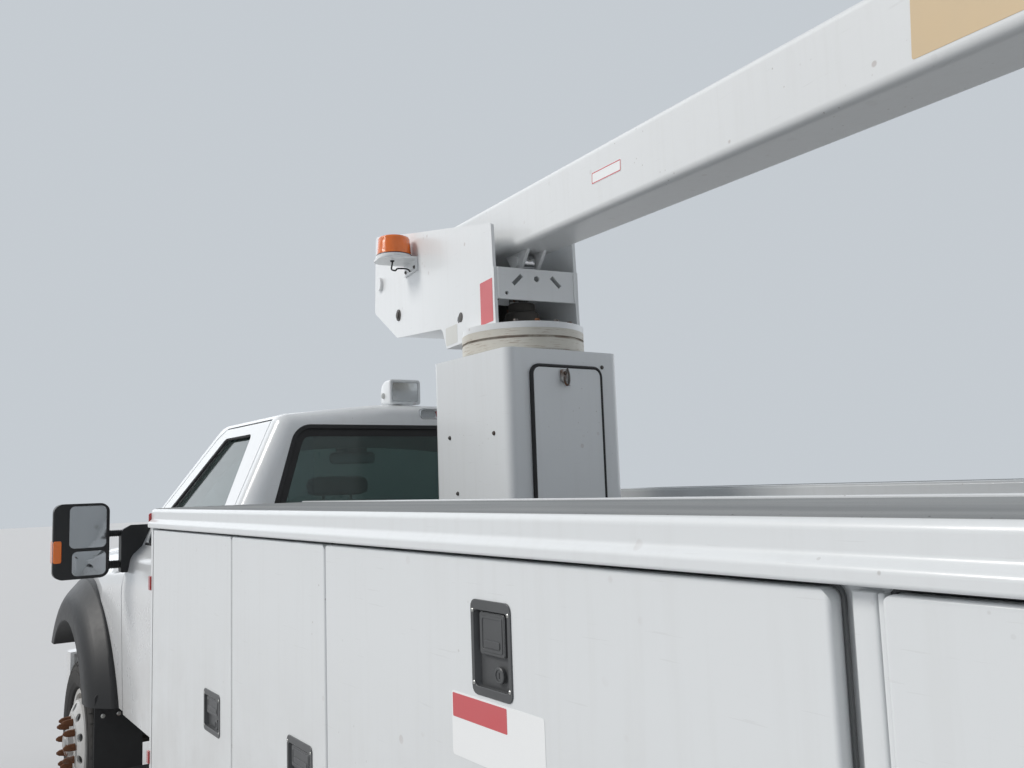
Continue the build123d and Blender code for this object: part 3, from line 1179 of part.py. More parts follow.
def slewing_ring():
    ring = rod_z(PEDESTAL_X, 0, PEDESTAL_TOP, RING_TOP, RING_R)
    low, high = RING_GROOVE_Z - RING_GROOVE / 2, RING_GROOVE_Z + RING_GROOVE / 2
    groove = rod_z(PEDESTAL_X, 0, low, high, RING_R + 1)
    groove -= rod_z(PEDESTAL_X, 0, low, high, RING_R - RING_GROOVE)
    ring -= groove
    return ring - rod_z(PEDESTAL_X, 0, PEDESTAL_TOP - 1, RING_TOP + 1, RING_BORE_R)


def plate_top(x):
    # Height of the side plate's upper edge over a point
    tops = PLATE_OUTLINE[1:5]
    for (x0, z0, _), (x1, z1, _) in zip(tops, tops[1:]):
        if x0 <= x <= x1:
            return z0 + (z1 - z0) * (x - x0) / (x1 - x0)
    return tops[-1][1]


def turret():
    bottom = RING_TOP + SEAT_GAP
    half = TURRET_WIDTH / 2
    plate = prism_y([(x, max(z, bottom), *r) for x, z, *r in PLATE_OUTLINE], half - TURRET_PLATE, half)
    plate -= rod_y(200, 0, 300, 2299, 14)
    body = both_sides(plate)
    body += rod_z(0, 0, bottom, bottom + TURRET_BASE, RING_R)
    body += block(TURRET_REAR_X, 331, -half, half, bottom, bottom + TURRET_BASE)
    # The cross plate at the rear has two slanted slots, a middle hole and a small one near its corner
    low, high = CROSS_PLATE_Z
    cross = block(TURRET_REAR_X + 4, TURRET_REAR_X + 16, -half, half, low, high)
    cross -= rod_x(TURRET_REAR_X - 8, TURRET_REAR_X + 30, 0, high - 35, 11)
    cross -= rod_x(TURRET_REAR_X - 8, TURRET_REAR_X + 30, 122, low + 22, 7)
    for side in (-1, 1):
        place = Pos(TURRET_REAR_X + 10, side * 78, (low + high) / 2 + 15)
        cross -= place * Rot(-side * 45, 0, 0) * Box(30, 50, 16)
    # A sloping plate under the cylinder ties the side plates' lower edges
    tie = prism_y([(392, 2296), (900, 2345), (900, 2357), (392, 2308)], -half + 1, half - 1)
    body += cross + tie
    body += rod_y(CYLINDER_PIN_X, -half - 8, half + 8, CYLINDER_PIN_Z, PIN_R)
    body += rod_y(BOOM_PIVOT_X, -half - 14, half + 14, BOOM_PIVOT_Z, BOOM_PIN_R)
    return TURRET * body


def beacon():
    y = TURRET_WIDTH / 2 + SEAT_GAP
    reach = BEACON_R + 2
    z = plate_top(BEACON_X) - BEACON_DROP
    bracket = prism_z([(BEACON_X - reach, y), (BEACON_X + reach, y),
                       (BEACON_X + reach, y + 2 * reach, reach * 0.6),
                       (BEACON_X - reach, y + 2 * reach, reach * 0.6)], z - 10, z)
    bracket += block(BEACON_X - reach, BEACON_X + reach, y, y + 8, z - 60, z)
    height = BEACON_HEIGHT
    section = [(0, -SINK), (BEACON_R - 8, -SINK), (BEACON_R - 8, 14), (BEACON_R, 18, 4),
               (BEACON_R - 5, height - 6, 12), (0, height)]
    lens = revolve(Plane.XZ * outline(section), axis=Axis.Z)
    return TURRET * (bracket + Pos(BEACON_X, y + reach, z) * lens)


def rounded_tube(width, height, radius, wall, x0, x1):
    form = RectangleRounded(width, height, radius)
    inside = RectangleRounded(width - 2 * wall, height - 2 * wall, max(radius - wall, 2))
    tube = extrude(Plane.YZ.offset(x0) * form, amount=x1 - x0)
    return tube - extrude(Plane.YZ.offset(x0 - 1) * inside, amount=x1 - x0 + 2)


def outer_boom():
    mouth = BOOM_MOUTH_X
    rise = Pos(0, 0, BOOM_AXIS_RISE)
    tube = rise * rounded_tube(BOOM_WIDTH, BOOM_HEIGHT, BOOM_CORNER_R, BOOM_WALL, mouth, BOOM_BUTT)
    half_gap = TURRET_WIDTH / 2 - TURRET_PLATE - RUNNING_GAP
    tube += rod_y(0, -half_gap, half_gap, 0, BOOM_PIN_R + 18)
    tube -= rod_y(0, -300, 300, 0, BOOM_PIN_R + SEAT_GAP)
    # Two lugs under the boom take the cylinder's rod eye between them
    x, z = lug_pin_in_boom()
    low = BOOM_AXIS_RISE - BOOM_HEIGHT / 2
    y0 = EYE_WIDTH / 2 + LUG_GAP
    lug = prism_y([(x - 90, low + 2), (x + 90, low + 2), (x + 30, z - EYE_R, 24), (x - 30, z - EYE_R, 24)],
                  y0, y0 + LUG_PLATE)
    lug += rod_y(x, y0 + LUG_PLATE, y0 + LUG_PLATE + 8, z, PIN_R + 8)
    tube += both_sides(lug)
    collar = rise * rounded_tube(BOOM_WIDTH + 24, BOOM_HEIGHT + 24, BOOM_CORNER_R + 12, 13,
                                 mouth, mouth + COLLAR_LENGTH)
    # Wear pads line the mouth and carry the inner boom
    gap = SEAT_GAP * 2
    pads = RectangleRounded(BOOM_WIDTH - 2 * BOOM_WALL + 1, BOOM_HEIGHT - 2 * BOOM_WALL + 1,
                            BOOM_CORNER_R - BOOM_WALL)
    pads -= RectangleRounded(INNER_BOOM_WIDTH + gap, INNER_BOOM_HEIGHT + gap,
                             INNER_BOOM_CORNER_R + SEAT_GAP)
    pad_face = Plane.YZ.offset(mouth) * Pos(0, BOOM_AXIS_RISE) * pads
    pad_ring = extrude(pad_face, amount=WEAR_PAD_LENGTH, dir=(1, 0, 0))
    return BOOM * (tube + collar + pad_ring)


def lug_pin_in_boom():
    # The rod's pin in the boom's own frame: x along the boom, z square to it
    dx = LUG_PIN_X - BOOM_PIVOT_X
    dz = LUG_PIN_Z - BOOM_PIVOT_Z
    turn = radians(BOOM_SLOPE)
    return (dx * cos(turn) + dz * sin(turn), -dx * sin(turn) + dz * cos(turn))


def inner_boom():
    half = INNER_BOOM_WIDTH / 2
    tube = rounded_tube(INNER_BOOM_WIDTH, INNER_BOOM_HEIGHT, INNER_BOOM_CORNER_R, INNER_BOOM_WALL,
                        BOOM_TIP_X, -INNER_BOOM_TAIL)
    tip = rounded_tube(INNER_BOOM_WIDTH + 16, INNER_BOOM_HEIGHT + 16, 20, 9, BOOM_TIP_X, BOOM_TIP_X + 150)
    tip += rod_y(TIP_PIVOT_X, -half - TIP_BOSS, half + 12, 0, TIP_PIN_R + 16)
    arm = tube + tip - rod_y(TIP_PIVOT_X, -300, 300, 0, TIP_PIN_R + SEAT_GAP)
    return BOOM * Pos(0, 0, BOOM_AXIS_RISE) * arm


def tip_in_turret():
    turn = radians(BOOM_SLOPE)
    x, z = TIP_PIVOT_X, BOOM_AXIS_RISE
    return (BOOM_PIVOT_X + x * cos(turn) - z * sin(turn), BOOM_PIVOT_Z + x * sin(turn) + z * cos(turn))


def platform_bracket():
    # A shaft through the boom's tip, a boss and gussets, the plate that the bucket hangs on, and the
    # box of the worker's levers beside the bucket's edge
    x, z = tip_in_turret()
    half = INNER_BOOM_WIDTH / 2
    y0 = -half - TIP_BOSS - SEAT_GAP
    y1 = -half - BUCKET_BOOM_GAP
    boss_y = y0 - 40
    bracket = rod_y(x, y1, half + 12, z, TIP_PIN_R)
    bracket += rod_y(x, boss_y, y0, z, TIP_PIN_R + 34)
    bracket += prism_y(rounded((x - 150, z - 420), (x + 150, z + 120), 30), y1, y1 + BRACKET_PLATE)
    for dx in (-90, 90):
        gusset = [(x + dx - 7, y1), (x + dx + 7, y1),
                  (x + dx * 0.4 + 7, boss_y), (x + dx * 0.4 - 7, boss_y)]
        bracket += prism_z(gusset, z - 60, z + 60)
    bracket += block(x - 60, x + 60, boss_y, y0 - 12, z - 62, z + 62)
    bracket += prism_y(rounded((x - 120, z + 70), (x + 60, z + 186), 12), y1, y1 + 92)
    return TURRET * bracket


def bucket():
    x, z = tip_in_turret()
    y = -INNER_BOOM_WIDTH / 2 - BUCKET_BOOM_GAP - SEAT_GAP - BUCKET_WIDTH / 2
    length, width, radius, wall = BUCKET_LENGTH, BUCKET_WIDTH, BUCKET_CORNER_R, BUCKET_WALL
    shell = extrude(RectangleRounded(length, width, radius), amount=BUCKET_HEIGHT)
    out = BUCKET_LIP_OUT
    lip = RectangleRounded(length + 2 * out, width + 2 * out, radius + out)
    lip = extrude(lip, amount=BUCKET_LIP_HEIGHT)
    shell += Pos(0, 0, BUCKET_HEIGHT - BUCKET_LIP_HEIGHT) * lip
    # Upright ribs stand out on the ends and the outer side
    for share in (-0.25, 0.25):
        for end in (-1, 1):
            shell += block(end * (length / 2 - SINK), end * (length / 2 + BUCKET_RIB), share * width - 24,
                           share * width + 24, 40, BUCKET_HEIGHT - BUCKET_LIP_HEIGHT + SINK)
        shell += block(share * length - 24, share * length + 24, -width / 2 - BUCKET_RIB, -width / 2 + SINK,
                       40, BUCKET_HEIGHT - BUCKET_LIP_HEIGHT + SINK)
    inside = RectangleRounded(length - 2 * wall, width - 2 * wall, radius - wall)
    inside = extrude(inside, amount=BUCKET_HEIGHT)
    return TURRET * Pos(x, y, BUCKET_BOTTOM) * (shell - Pos(0, 0, wall) * inside)


def cylinder_frame():
    # Local +X runs from the base pin to the rod's eye
    angle = degrees(atan2(LUG_PIN_Z - CYLINDER_PIN_Z, CYLINDER_PIN_X - LUG_PIN_X))
    return TURRET * Pos(CYLINDER_PIN_X, 0, CYLINDER_PIN_Z) * Rot(0, 180 + angle, 0)


def cylinder_barrel():
    length = BARREL_LENGTH
    barrel = rod_x(30, length, 0, 0, BARREL_R)
    barrel += rod_y(0, -40, 40, 0, 34) + block(0, 40, -40, 40, -30, 30)
    barrel -= rod_y(0, -60, 60, 0, PIN_R + SEAT_GAP)
    barrel -= rod_x(length - BARREL_BORE, length + 1, 0, 0, ROD_R + 8)
    gland = rod_x(length - 30, length, 0, 0, BARREL_R + 5)
    barrel += gland - rod_x(length - 31, length + 1, 0, 0, ROD_R + SEAT_GAP)
    # Hose ports on its side
    for x in (70, length - 60):
        barrel += rod_y(x, BARREL_R - 6, BARREL_R + 18, 0, PORT_R)
    return cylinder_frame() * barrel


def cylinder_rod():
    length = hypot(LUG_PIN_X - CYLINDER_PIN_X, LUG_PIN_Z - CYLINDER_PIN_Z)
    rod = rod_x(BARREL_LENGTH - BARREL_BORE + 20, length, 0, 0, ROD_R)
    rod += rod_y(length, -EYE_WIDTH / 2, EYE_WIDTH / 2, 0, EYE_R)
    rod -= rod_y(length, -EYE_WIDTH, EYE_WIDTH, 0, PIN_R)
    return cylinder_frame() * rod


def boom_rest():
    # A post on the cargo floor carries a flat pad just under the stowed boom
    turn = radians(TURRET_YAW)
    slope = radians(BOOM_SLOPE)
    back = (PEDESTAL_X - REST_X) / cos(turn)
    y = back * sin(-turn)
    fall = (back + BOOM_PIVOT_X) * tan(slope)
    under = BOOM_PIVOT_Z - fall + (BOOM_AXIS_RISE - BOOM_HEIGHT / 2) / cos(slope)
    top = under - REST_PAD_HALF * sin(slope) - RUNNING_GAP
    post, pad, foot = REST_POST_HALF, REST_PAD_HALF, REST_PAD_HALF + 50
    rest = block(REST_X - post, REST_X + post, y - post, y + post, CARGO_FLOOR_TOP, top - 19)
    rest += block(REST_X - foot, REST_X + foot, y - foot, y + foot, CARGO_FLOOR_TOP, CARGO_FLOOR_TOP + 12)
    return rest + block(REST_X - pad, REST_X + pad, y - 130, y + 130, top - 20, top)


def build():
    keep("chassis_frame", chassis_frame())
    suspension()
    keep("axles", front_axle(), rear_axle())
    sided("knuckle", knuckle())
    wheels()
    keep("engine_block", engine())
    keep("driveline", driveline())
    keep("fuel_tank", fuel_tank())
    keep("exhaust", exhaust())
    sided("side_pack", side_pack())
    keep("arch_panels", arch_panel(), right_of(arch_panel()))
    for row in PACK_DOORS:
        sided(row[0], pack_door(row))
    keep("cargo_floor", cargo_floor())
    keep("tail_shelf", tail_shelf())
    keep("boom_rest", boom_rest())
    keep("cab_shell", cab_shell())
    sided("cab_door", cab_door())
    sided("cab_door_glass", door_glass())
    sided("cab_mirror", mirror_head())
    keep("cab_glass", windscreen(), rear_glass())
    keep("seat", seat())
    keep("dashboard", dashboard())
    keep("cab_steps", cab_step(), right_of(cab_step()))
    keep("fenders", both_sides(fender()) + front_panel())
    keep("fender_flares", fender_flare(), right_of(fender_flare()))
    keep("hood", hood())
    keep("grille", grille())
    left_lamps = [headlamp(), *tail_lamps()]
    keep("lamps", *left_lamps, *[right_of(lamp) for lamp in left_lamps], work_lamp(), brake_lamp())
    keep("front_bumper", front_bumper())
    keep("pedestal", pedestal())
    keep("pedestal_door", pedestal_door())
    keep("slewing_ring", slewing_ring())
    keep("turret", turret())
    keep("beacon", beacon())
    keep("outer_boom", outer_boom())
    keep("inner_boom", inner_boom())
    keep("platform_bracket", platform_bracket())
    keep("bucket", bucket())
    keep("cylinder_barrel", cylinder_barrel())
    keep("cylinder_rod", cylinder_rod())


build()
os.makedirs("parts", exist_ok=True)
for node, shapes in NODES.items():
    solids = [solid for shape in shapes for solid in shape.solids()]
    export_step(Compound(children=solids), f"parts/{node}.step")
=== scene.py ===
from math import cos, hypot, pi, radians, sin

import bpy
from mathutils import Matrix, Vector


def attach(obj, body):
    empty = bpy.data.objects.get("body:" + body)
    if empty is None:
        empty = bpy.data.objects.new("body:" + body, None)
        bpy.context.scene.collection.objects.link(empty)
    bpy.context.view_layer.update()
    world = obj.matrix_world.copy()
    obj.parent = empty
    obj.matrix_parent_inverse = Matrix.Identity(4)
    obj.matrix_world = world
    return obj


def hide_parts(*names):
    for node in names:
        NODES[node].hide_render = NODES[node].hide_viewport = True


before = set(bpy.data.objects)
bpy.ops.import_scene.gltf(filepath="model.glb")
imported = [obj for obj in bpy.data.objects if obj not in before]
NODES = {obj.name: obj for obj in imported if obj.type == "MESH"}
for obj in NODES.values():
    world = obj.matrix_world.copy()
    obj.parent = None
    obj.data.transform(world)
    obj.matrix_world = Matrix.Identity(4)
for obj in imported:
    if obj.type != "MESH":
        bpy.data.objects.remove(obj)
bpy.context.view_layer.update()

# Looks of a cherry picker truck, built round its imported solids. Metres, with the same axes as the
# solids: +X forward, +Y left, +Z up.

scene = bpy.context.scene

# Camera, as it was solved from the photograph: place, heading to the right of straight ahead, pitch up
# and roll in degrees, and focal length in pixels of a frame 1024 wide
CAMERA_PLACE = Vector((-2.618, 1.944, 1.663))
CAMERA_HEADING = 35.30
CAMERA_PITCH = 6.35
CAMERA_ROLL = -1.98
CAMERA_FOCAL = 894.8
FRAME_WIDTH = 1024
SENSOR = 36.0

# Paint and material colours, linear
WHITE = (0.76, 0.78, 0.79)
LINER_GREY = (0.20, 0.21, 0.215)
LATCH_GREY = (0.062, 0.064, 0.066)
CHASSIS_BLACK = (0.028, 0.027, 0.026)
RUBBER = (0.020, 0.020, 0.021)
RUST = (0.19, 0.075, 0.030)
STEEL = (0.46, 0.46, 0.45)
CREAM = (0.66, 0.64, 0.58)
LABEL_CREAM = (0.66, 0.50, 0.30)
LABEL_RED = (0.60, 0.085, 0.095)
AMBER = (1.0, 0.20, 0.006)
RED_LENS = (0.52, 0.012, 0.012)
VINYL = (0.085, 0.088, 0.095)

# Sizes of the solids that pieces are fitted to
BODY_FRONT = 0.555
BODY_REAR = -2.798
PACK_OUT = 1.194
PACK_IN = 0.650
RAIL_TOP = 1.620
DOOR_TOP = 1.552
DOOR_BOTTOM = 0.640
DROP_DOOR_BOTTOM = 0.960
DECK_TOP = 0.975
TYRE_R = 0.405
TYRE_HALF_WIDTH = 0.113
FRONT_AXLE_X = 2.682
REAR_AXLE_X = -1.504
FRONT_TYRE_Y = 0.950
REAR_TYRES_Y = (0.808, 1.072)
CAB_BACK = 0.625
CAB_HALF = 1.016
FRONT_X = 3.650
TAIL_X = -3.650
PEDESTAL_X = 0.048
PEDESTAL_HALF = 0.247
PEDESTAL_TOP = 2.120
RING_R = 0.226
TURRET_YAW = -9.02
TURRET_HALF = 0.1715
TURRET_FLOOR = 2.2253
CYLINDER_PIN = Vector((0.899, 0.0, 2.445))
LUG_PIN = Vector((-0.050, 0.0, 2.475))
BOOM_SLOPE = 3.37
BOOM_PIVOT = Vector((1.151, 0.0, 2.643))
BOOM_RISE = 0.039
BOOM_HALF_WIDTH = 0.089
BOOM_HALF_HEIGHT = 0.1025
BOOM_MOUTH = -4.050
BOOM_TIP = -4.340
BEACON_X = 0.715
BEACON_R = 0.078
BUCKET_PIVOT = Vector((-3.1239, 0.0, 2.4303))
BUCKET_PLATE_Y = -0.213
BUCKET_HALF = 0.305
BUCKET_TOP = 2.662
BUCKET_FLOOR = 1.6585
MIRROR_BACK = 1.772
BELT_Z = 1.452
DASH_FACE = 1.8225

# The turret's own frame and the boom's, as in the part's source
TURRET = Matrix.Translation((PEDESTAL_X, 0, 0)) @ Matrix.Rotation(radians(TURRET_YAW), 4, "Z")
BOOM = TURRET @ Matrix.Translation(BOOM_PIVOT) @ Matrix.Rotation(radians(-BOOM_SLOPE), 4, "Y")

# Frames for flat work: its first two axes lie in the face and its third stands out of it
FACING_LEFT = Matrix(((-1, 0, 0, 0), (0, 0, 1, 0), (0, 1, 0, 0), (0, 0, 0, 1)))
FACING_RIGHT = Matrix(((1, 0, 0, 0), (0, 0, -1, 0), (0, 1, 0, 0), (0, 0, 0, 1)))
FACING_REAR = Matrix(((0, 0, -1, 0), (-1, 0, 0, 0), (0, 1, 0, 0), (0, 0, 0, 1)))
FACING_FRONT = Matrix(((0, 0, 1, 0), (1, 0, 0, 0), (0, 1, 0, 0), (0, 0, 0, 1)))
FACING_UP = Matrix.Identity(4)
FACING_DOWN = Matrix.Rotation(pi, 4, "X")


# Shader maths

class Value:
    """A socket of a material's nodes. The usual operators add the Math nodes."""

    def __init__(self, tree, socket):
        self.tree = tree
        self.socket = socket

    def _math(self, operation, *inputs, clamp=False):
        node = self.tree.nodes.new("ShaderNodeMath")
        node.operation = operation
        node.use_clamp = clamp
        for index, value in enumerate(inputs):
            plug(self.tree, node.inputs[index], value)
        return Value(self.tree, node.outputs[0])

    def __add__(self, other):
        return self._math("ADD", self, other)

    def __radd__(self, other):
        return self._math("ADD", other, self)

    def __sub__(self, other):
        return self._math("SUBTRACT", self, other)

    def __rsub__(self, other):
        return self._math("SUBTRACT", other, self)

    def __mul__(self, other):
        return self._math("MULTIPLY", self, other)

    def __rmul__(self, other):
        return self._math("MULTIPLY", other, self)

    def __truediv__(self, other):
        return self._math("DIVIDE", self, other)

    def distance(self, other):
        return self._math("ABSOLUTE", self - other)

    def above(self, level, width=0.05):
        """0 below the level and 1 above it, with a soft step of that width."""
        return self._math("DIVIDE", self - (level - width / 2), width, clamp=True)

    def below(self, level, width=0.05):
        return 1 - self.above(level, width)

    def larger(self, other):
        return self._math("MAXIMUM", self, other)


def plug(tree, socket, value):
    if isinstance(value, Value):
        tree.links.new(value.socket, socket)
    elif isinstance(value, (tuple, list, Vector)):
        size = len(socket.default_value)
        socket.default_value = (tuple(value) + (1.0,) * size)[:size]
    else:
        socket.default_value = value


class Surface:
    """A material in the making: its shader, and the nodes that vary it."""

    def __init__(self, name, **constants):
        self.material = bpy.data.materials.new(name)
        self.material.use_nodes = True
        self.tree = self.material.node_tree
        self.shader = self.tree.nodes["Principled BSDF"]
        self.set(**constants)

    def node(self, kind, settings=None, output=0, **sockets):
        made = self.tree.nodes.new(kind)
        for name, value in (settings or {}).items():
            setattr(made, name, value)
        for name, value in sockets.items():
            key = int(name[1:]) if name[0] == "i" and name[1:].isdigit() else name.replace("_", " ")
            plug(self.tree, made.inputs[key], value)
        return Value(self.tree, made.outputs[output])

    def set(self, **sockets):
        for name, value in sockets.items():
            plug(self.tree, self.shader.inputs[name.replace("_", " ")], value)

    def place(self):
        """Where the point is, in metres in the vehicle's own frame at rest."""
        return self.node("ShaderNodeTexCoord", output=3)

    def axes(self):
        parts = self.tree.nodes.new("ShaderNodeSeparateXYZ")
        plug(self.tree, parts.inputs[0], self.place())
        return [Value(self.tree, parts.outputs[index]) for index in range(3)]

    def stretched(self, x=1.0, y=1.0, z=1.0):
        return self.node("ShaderNodeVectorMath", {"operation": "MULTIPLY"}, i0=self.place(), i1=(x, y, z))

    def noise(self, scale, detail=3.0, roughness=0.55, vector=None):
        return self.node("ShaderNodeTexNoise", Vector=vector or self.place(), Scale=scale, Detail=detail,
                         Roughness=roughness)

    def bands(self, direction, scale, vector=None):
        """Even waves from 0 to 1 along one axis."""
        return self.node("ShaderNodeTexWave", {"wave_type": "BANDS", "bands_direction": direction}, output=1,
                         Vector=vector or self.place(), Scale=scale)

    def specks(self, scale, size=0.12, vector=None):
        """1 on small dots scattered over the surface."""
        cells = self.node("ShaderNodeTexVoronoi", {"feature": "F1"}, Vector=vector or self.place(),
                          Scale=scale)
        return cells.below(size, 0.04)

    def mix(self, factor, first, second):
        made = self.tree.nodes.new("ShaderNodeMix")
        made.data_type = "RGBA"
        plug(self.tree, made.inputs[0], factor)
        plug(self.tree, made.inputs[6], first)
        plug(self.tree, made.inputs[7], second)
        return Value(self.tree, made.outputs[2])

    def bump(self, height, strength=0.2, distance=0.001):
        made = self.tree.nodes.new("ShaderNodeBump")
        plug(self.tree, made.inputs["Height"], height)
        made.inputs["Strength"].default_value = strength
        made.inputs["Distance"].default_value = distance
        plug(self.tree, self.shader.inputs["Normal"], Value(self.tree, made.outputs[0]))


def painted(name, colour, rust=0.0, dust=0.5, gloss=0.30, coat=0.35):
    """Sprayed paint with a faint unevenness, road dust low down and a few chips that rust."""
    s = Surface(name, Coat_Weight=coat, Coat_Roughness=0.12, Specular_IOR_Level=0.5)
    height = s.axes()[2]
    cloud = s.noise(1.7, 4.0)
    fine = s.noise(46.0, 3.0)
    shade = s.mix(cloud, tuple(c * 0.955 for c in colour), colour)
    low = height.below(0.95, 0.9) * s.noise(5.0, 5.0).above(0.42, 0.35) * dust
    shade = s.mix(low * 0.75, shade, (0.34, 0.31, 0.27))
    runs = s.noise(7.0, 4.0, vector=s.stretched(6.0, 6.0, 0.35)).above(0.58, 0.16)
    shade = s.mix(runs * 0.09 * dust, shade, (0.45, 0.43, 0.39))
    hairs = s.noise(9.0, 2.0, vector=s.stretched(1.0, 1.0, 22.0)).above(0.71, 0.02)
    shade = s.mix(hairs * 0.14, shade, (0.50, 0.50, 0.49))
    chips = s.specks(34.0, 0.075) * s.noise(3.1, 2.0).above(0.58, 0.06)
    shade = s.mix(chips * (0.35 + rust * 0.6), shade, (0.30, 0.27, 0.24))
    if rust:
        spots = s.specks(17.0, 0.13) * s.noise(4.3, 3.0).above(0.64 - rust * 0.12, 0.08)
        shade = s.mix(spots * rust * 1.6, shade, RUST)
    s.set(Base_Color=shade, Roughness=gloss + fine * 0.06 + low * 0.4)
    s.bump(s.noise(150.0, 2.0) * 0.6 + cloud * 0.4, 0.05, 0.0006)
    return s.material


def moulded(name, colour, roughness=0.55, grain=260.0, depth=0.25, dust=0.35):
    """Grained plastic or rubber, greyed a little by dust."""
    s = Surface(name, Specular_IOR_Level=0.38)
    cloud = s.noise(6.0, 4.0)
    shade = s.mix(cloud.above(0.5, 0.5) * dust, colour, tuple(c * 1.9 + 0.012 for c in colour))
    s.set(Base_Color=shade, Roughness=roughness + s.noise(30.0, 3.0) * 0.14 - 0.07)
    s.bump(s.noise(grain, 3.0, 0.7), depth, 0.0008)
    return s.material


def rubber():
    s = Surface("tyre_rubber", Specular_IOR_Level=0.35)
    cloud = s.noise(9.0, 5.0)
    shade = s.mix(cloud.above(0.48, 0.4) * 0.5, RUBBER, (0.066, 0.060, 0.052))
    s.set(Base_Color=shade, Roughness=0.72 + s.noise(60.0) * 0.16)
    s.bump(s.noise(320.0, 3.0, 0.7), 0.3, 0.0008)
    return s.material


def rusty_steel(name, clean, rusted=0.5, roughness=0.42, metallic=0.85):
    """Bare or thinly painted steel with blooms of rust that are rough and not metallic."""
    s = Surface(name)
    bloom = s.noise(11.0, 6.0, 0.65).above(0.66 - rusted * 0.3, 0.10)
    film = s.noise(3.5, 4.0).above(0.4, 0.5) * 0.35 * rusted
    shade = s.mix(film, clean, tuple(c * 0.55 + r * 0.4 for c, r in zip(clean, RUST)))
    shade = s.mix(bloom, shade, s.mix(s.noise(80.0), RUST, (0.075, 0.030, 0.016)))
    s.set(Base_Color=shade, Metallic=(1 - bloom) * metallic, Roughness=roughness + bloom * 0.42)
    s.bump(s.noise(90.0, 4.0) * 0.5 + bloom * 0.6, 0.25, 0.0012)
    return s.material


def chassis_coat():
    s = Surface("chassis_coat")
    cloud = s.noise(4.0, 5.0)
    shade = s.mix(cloud.above(0.46, 0.3) * 0.55, CHASSIS_BLACK, (0.120, 0.105, 0.088))
    bloom = s.noise(14.0, 5.0).above(0.67, 0.06)
    shade = s.mix(bloom * 0.8, shade, RUST)
    s.set(Base_Color=shade, Roughness=0.60 + cloud * 0.2)
    s.bump(s.noise(70.0, 4.0), 0.25, 0.001)
    return s.material


def deck_liner():
    """Sprayed black bed liner, with pale specks where it is scuffed."""
    s = Surface("deck_liner")
    specks = s.specks(62.0, 0.10) * s.noise(6.0).above(0.47, 0.2)
    shade = s.mix(specks * 0.7, (0.035, 0.036, 0.037), (0.40, 0.40, 0.38))
    shade = s.mix(s.noise(2.2, 4.0).above(0.5, 0.4) * 0.35, shade, (0.17, 0.16, 0.145))
    s.set(Base_Color=shade, Roughness=0.78)
    s.bump(s.noise(210.0, 4.0, 0.75), 0.6, 0.0015)
    return s.material


def rail_liner():
    """Grey grip coating on top of the rails, paler where boots and ladders have rubbed it."""
    s = Surface("rail_liner")
    worn = s.noise(2.6, 5.0, vector=s.stretched(0.5, 3.0, 1.0)).above(0.50, 0.35)
    shade = s.mix(worn * 0.5, LINER_GREY, (0.36, 0.37, 0.37))
    shade = s.mix(s.specks(75.0, 0.09) * 0.6, shade, (0.06, 0.06, 0.06))
    s.set(Base_Color=shade, Roughness=0.80 + worn * 0.08)
    s.bump(s.noise(340.0, 3.0, 0.75), 0.55, 0.0010)
    return s.material


def ring_paint():
    """Old cream paint on the slewing ring, with thin lines of rust round it, a dark line of painted shade
    with rust spots in the groove between its tiers, and a darker brownish band at its foot.
    """
    s = Surface("ring_paint", Coat_Weight=0.1)
    height = s.axes()[2]
    lines = s.noise(26.0, 4.0, vector=s.stretched(0.6, 0.6, 9.0)).above(0.62, 0.06)
    shade = s.mix(s.noise(7.0, 5.0).above(0.45, 0.4) * 0.5, CREAM, (0.46, 0.43, 0.36))
    shade = s.mix(lines * 0.45, shade, (0.25, 0.15, 0.085))
    groove, foot = 2.172, PEDESTAL_TOP + 0.008
    # In the groove between the tiers: a dark line of painted shade, broken into rust spots by noise
    groove_shade_and_rust = height.distance(groove).below(0.0045, 0.004) * s.noise(13.0, 4.0).above(0.45, 0.2)
    shade = s.mix(groove_shade_and_rust * 0.6, shade, (0.16, 0.085, 0.05))
    # At the foot, where the ring meets the pedestal: a darker brownish band, broken up by noise
    dark_foot_band = height.below(foot, 0.010) * s.noise(5.0, 3.0).above(0.40, 0.2)
    shade = s.mix(dark_foot_band * 0.75, shade, (0.12, 0.10, 0.085))
    s.set(Base_Color=shade, Roughness=0.48 + s.noise(40.0) * 0.2)
    s.bump(s.noise(60.0, 4.0), 0.2, 0.001)
    return s.material


def gel_coat():
    """Glass-fibre bucket: cream gel coat, chalky and scuffed."""
    s = Surface("gel_coat", Coat_Weight=0.15, Coat_Roughness=0.3)
    scuffs = s.noise(9.0, 5.0, vector=s.stretched(1.0, 1.0, 7.0)).above(0.62, 0.10)
    shade = s.mix(s.noise(2.8, 4.0), (0.70, 0.70, 0.67), (0.77, 0.77, 0.75))
    shade = s.mix(scuffs * 0.35, shade, (0.42, 0.41, 0.38))
    s.set(Base_Color=shade, Roughness=0.42 + scuffs * 0.25)
    s.bump(s.noise(75.0, 4.0), 0.12, 0.001)
    return s.material


def glazing(name, tint, clearness=0.85):
    s = Surface(name, IOR=1.45, Transmission_Weight=clearness, Specular_IOR_Level=0.5)
    film = s.noise(3.0, 4.0)
    s.set(Base_Color=s.mix(film * 0.3, tint, tuple(c * 0.8 for c in tint)), Roughness=0.02 + film * 0.04)
    return s.material


def lens(name, colour, transmission=0.35, ribs_along="Z", rib_scale=46.0):
    """Moulded lens: ribbed inside, glossy outside."""
    s = Surface(name, Transmission_Weight=transmission, IOR=1.49, Coat_Weight=0.6, Coat_Roughness=0.05)
    ribs = s.bands(ribs_along, rib_scale)
    shade = s.mix(ribs * 0.35, colour, tuple(c * 0.55 for c in colour))
    s.set(Base_Color=shade, Roughness=0.12 + s.noise(30.0) * 0.08)
    s.bump(ribs, 0.3, 0.0015)
    return s.material


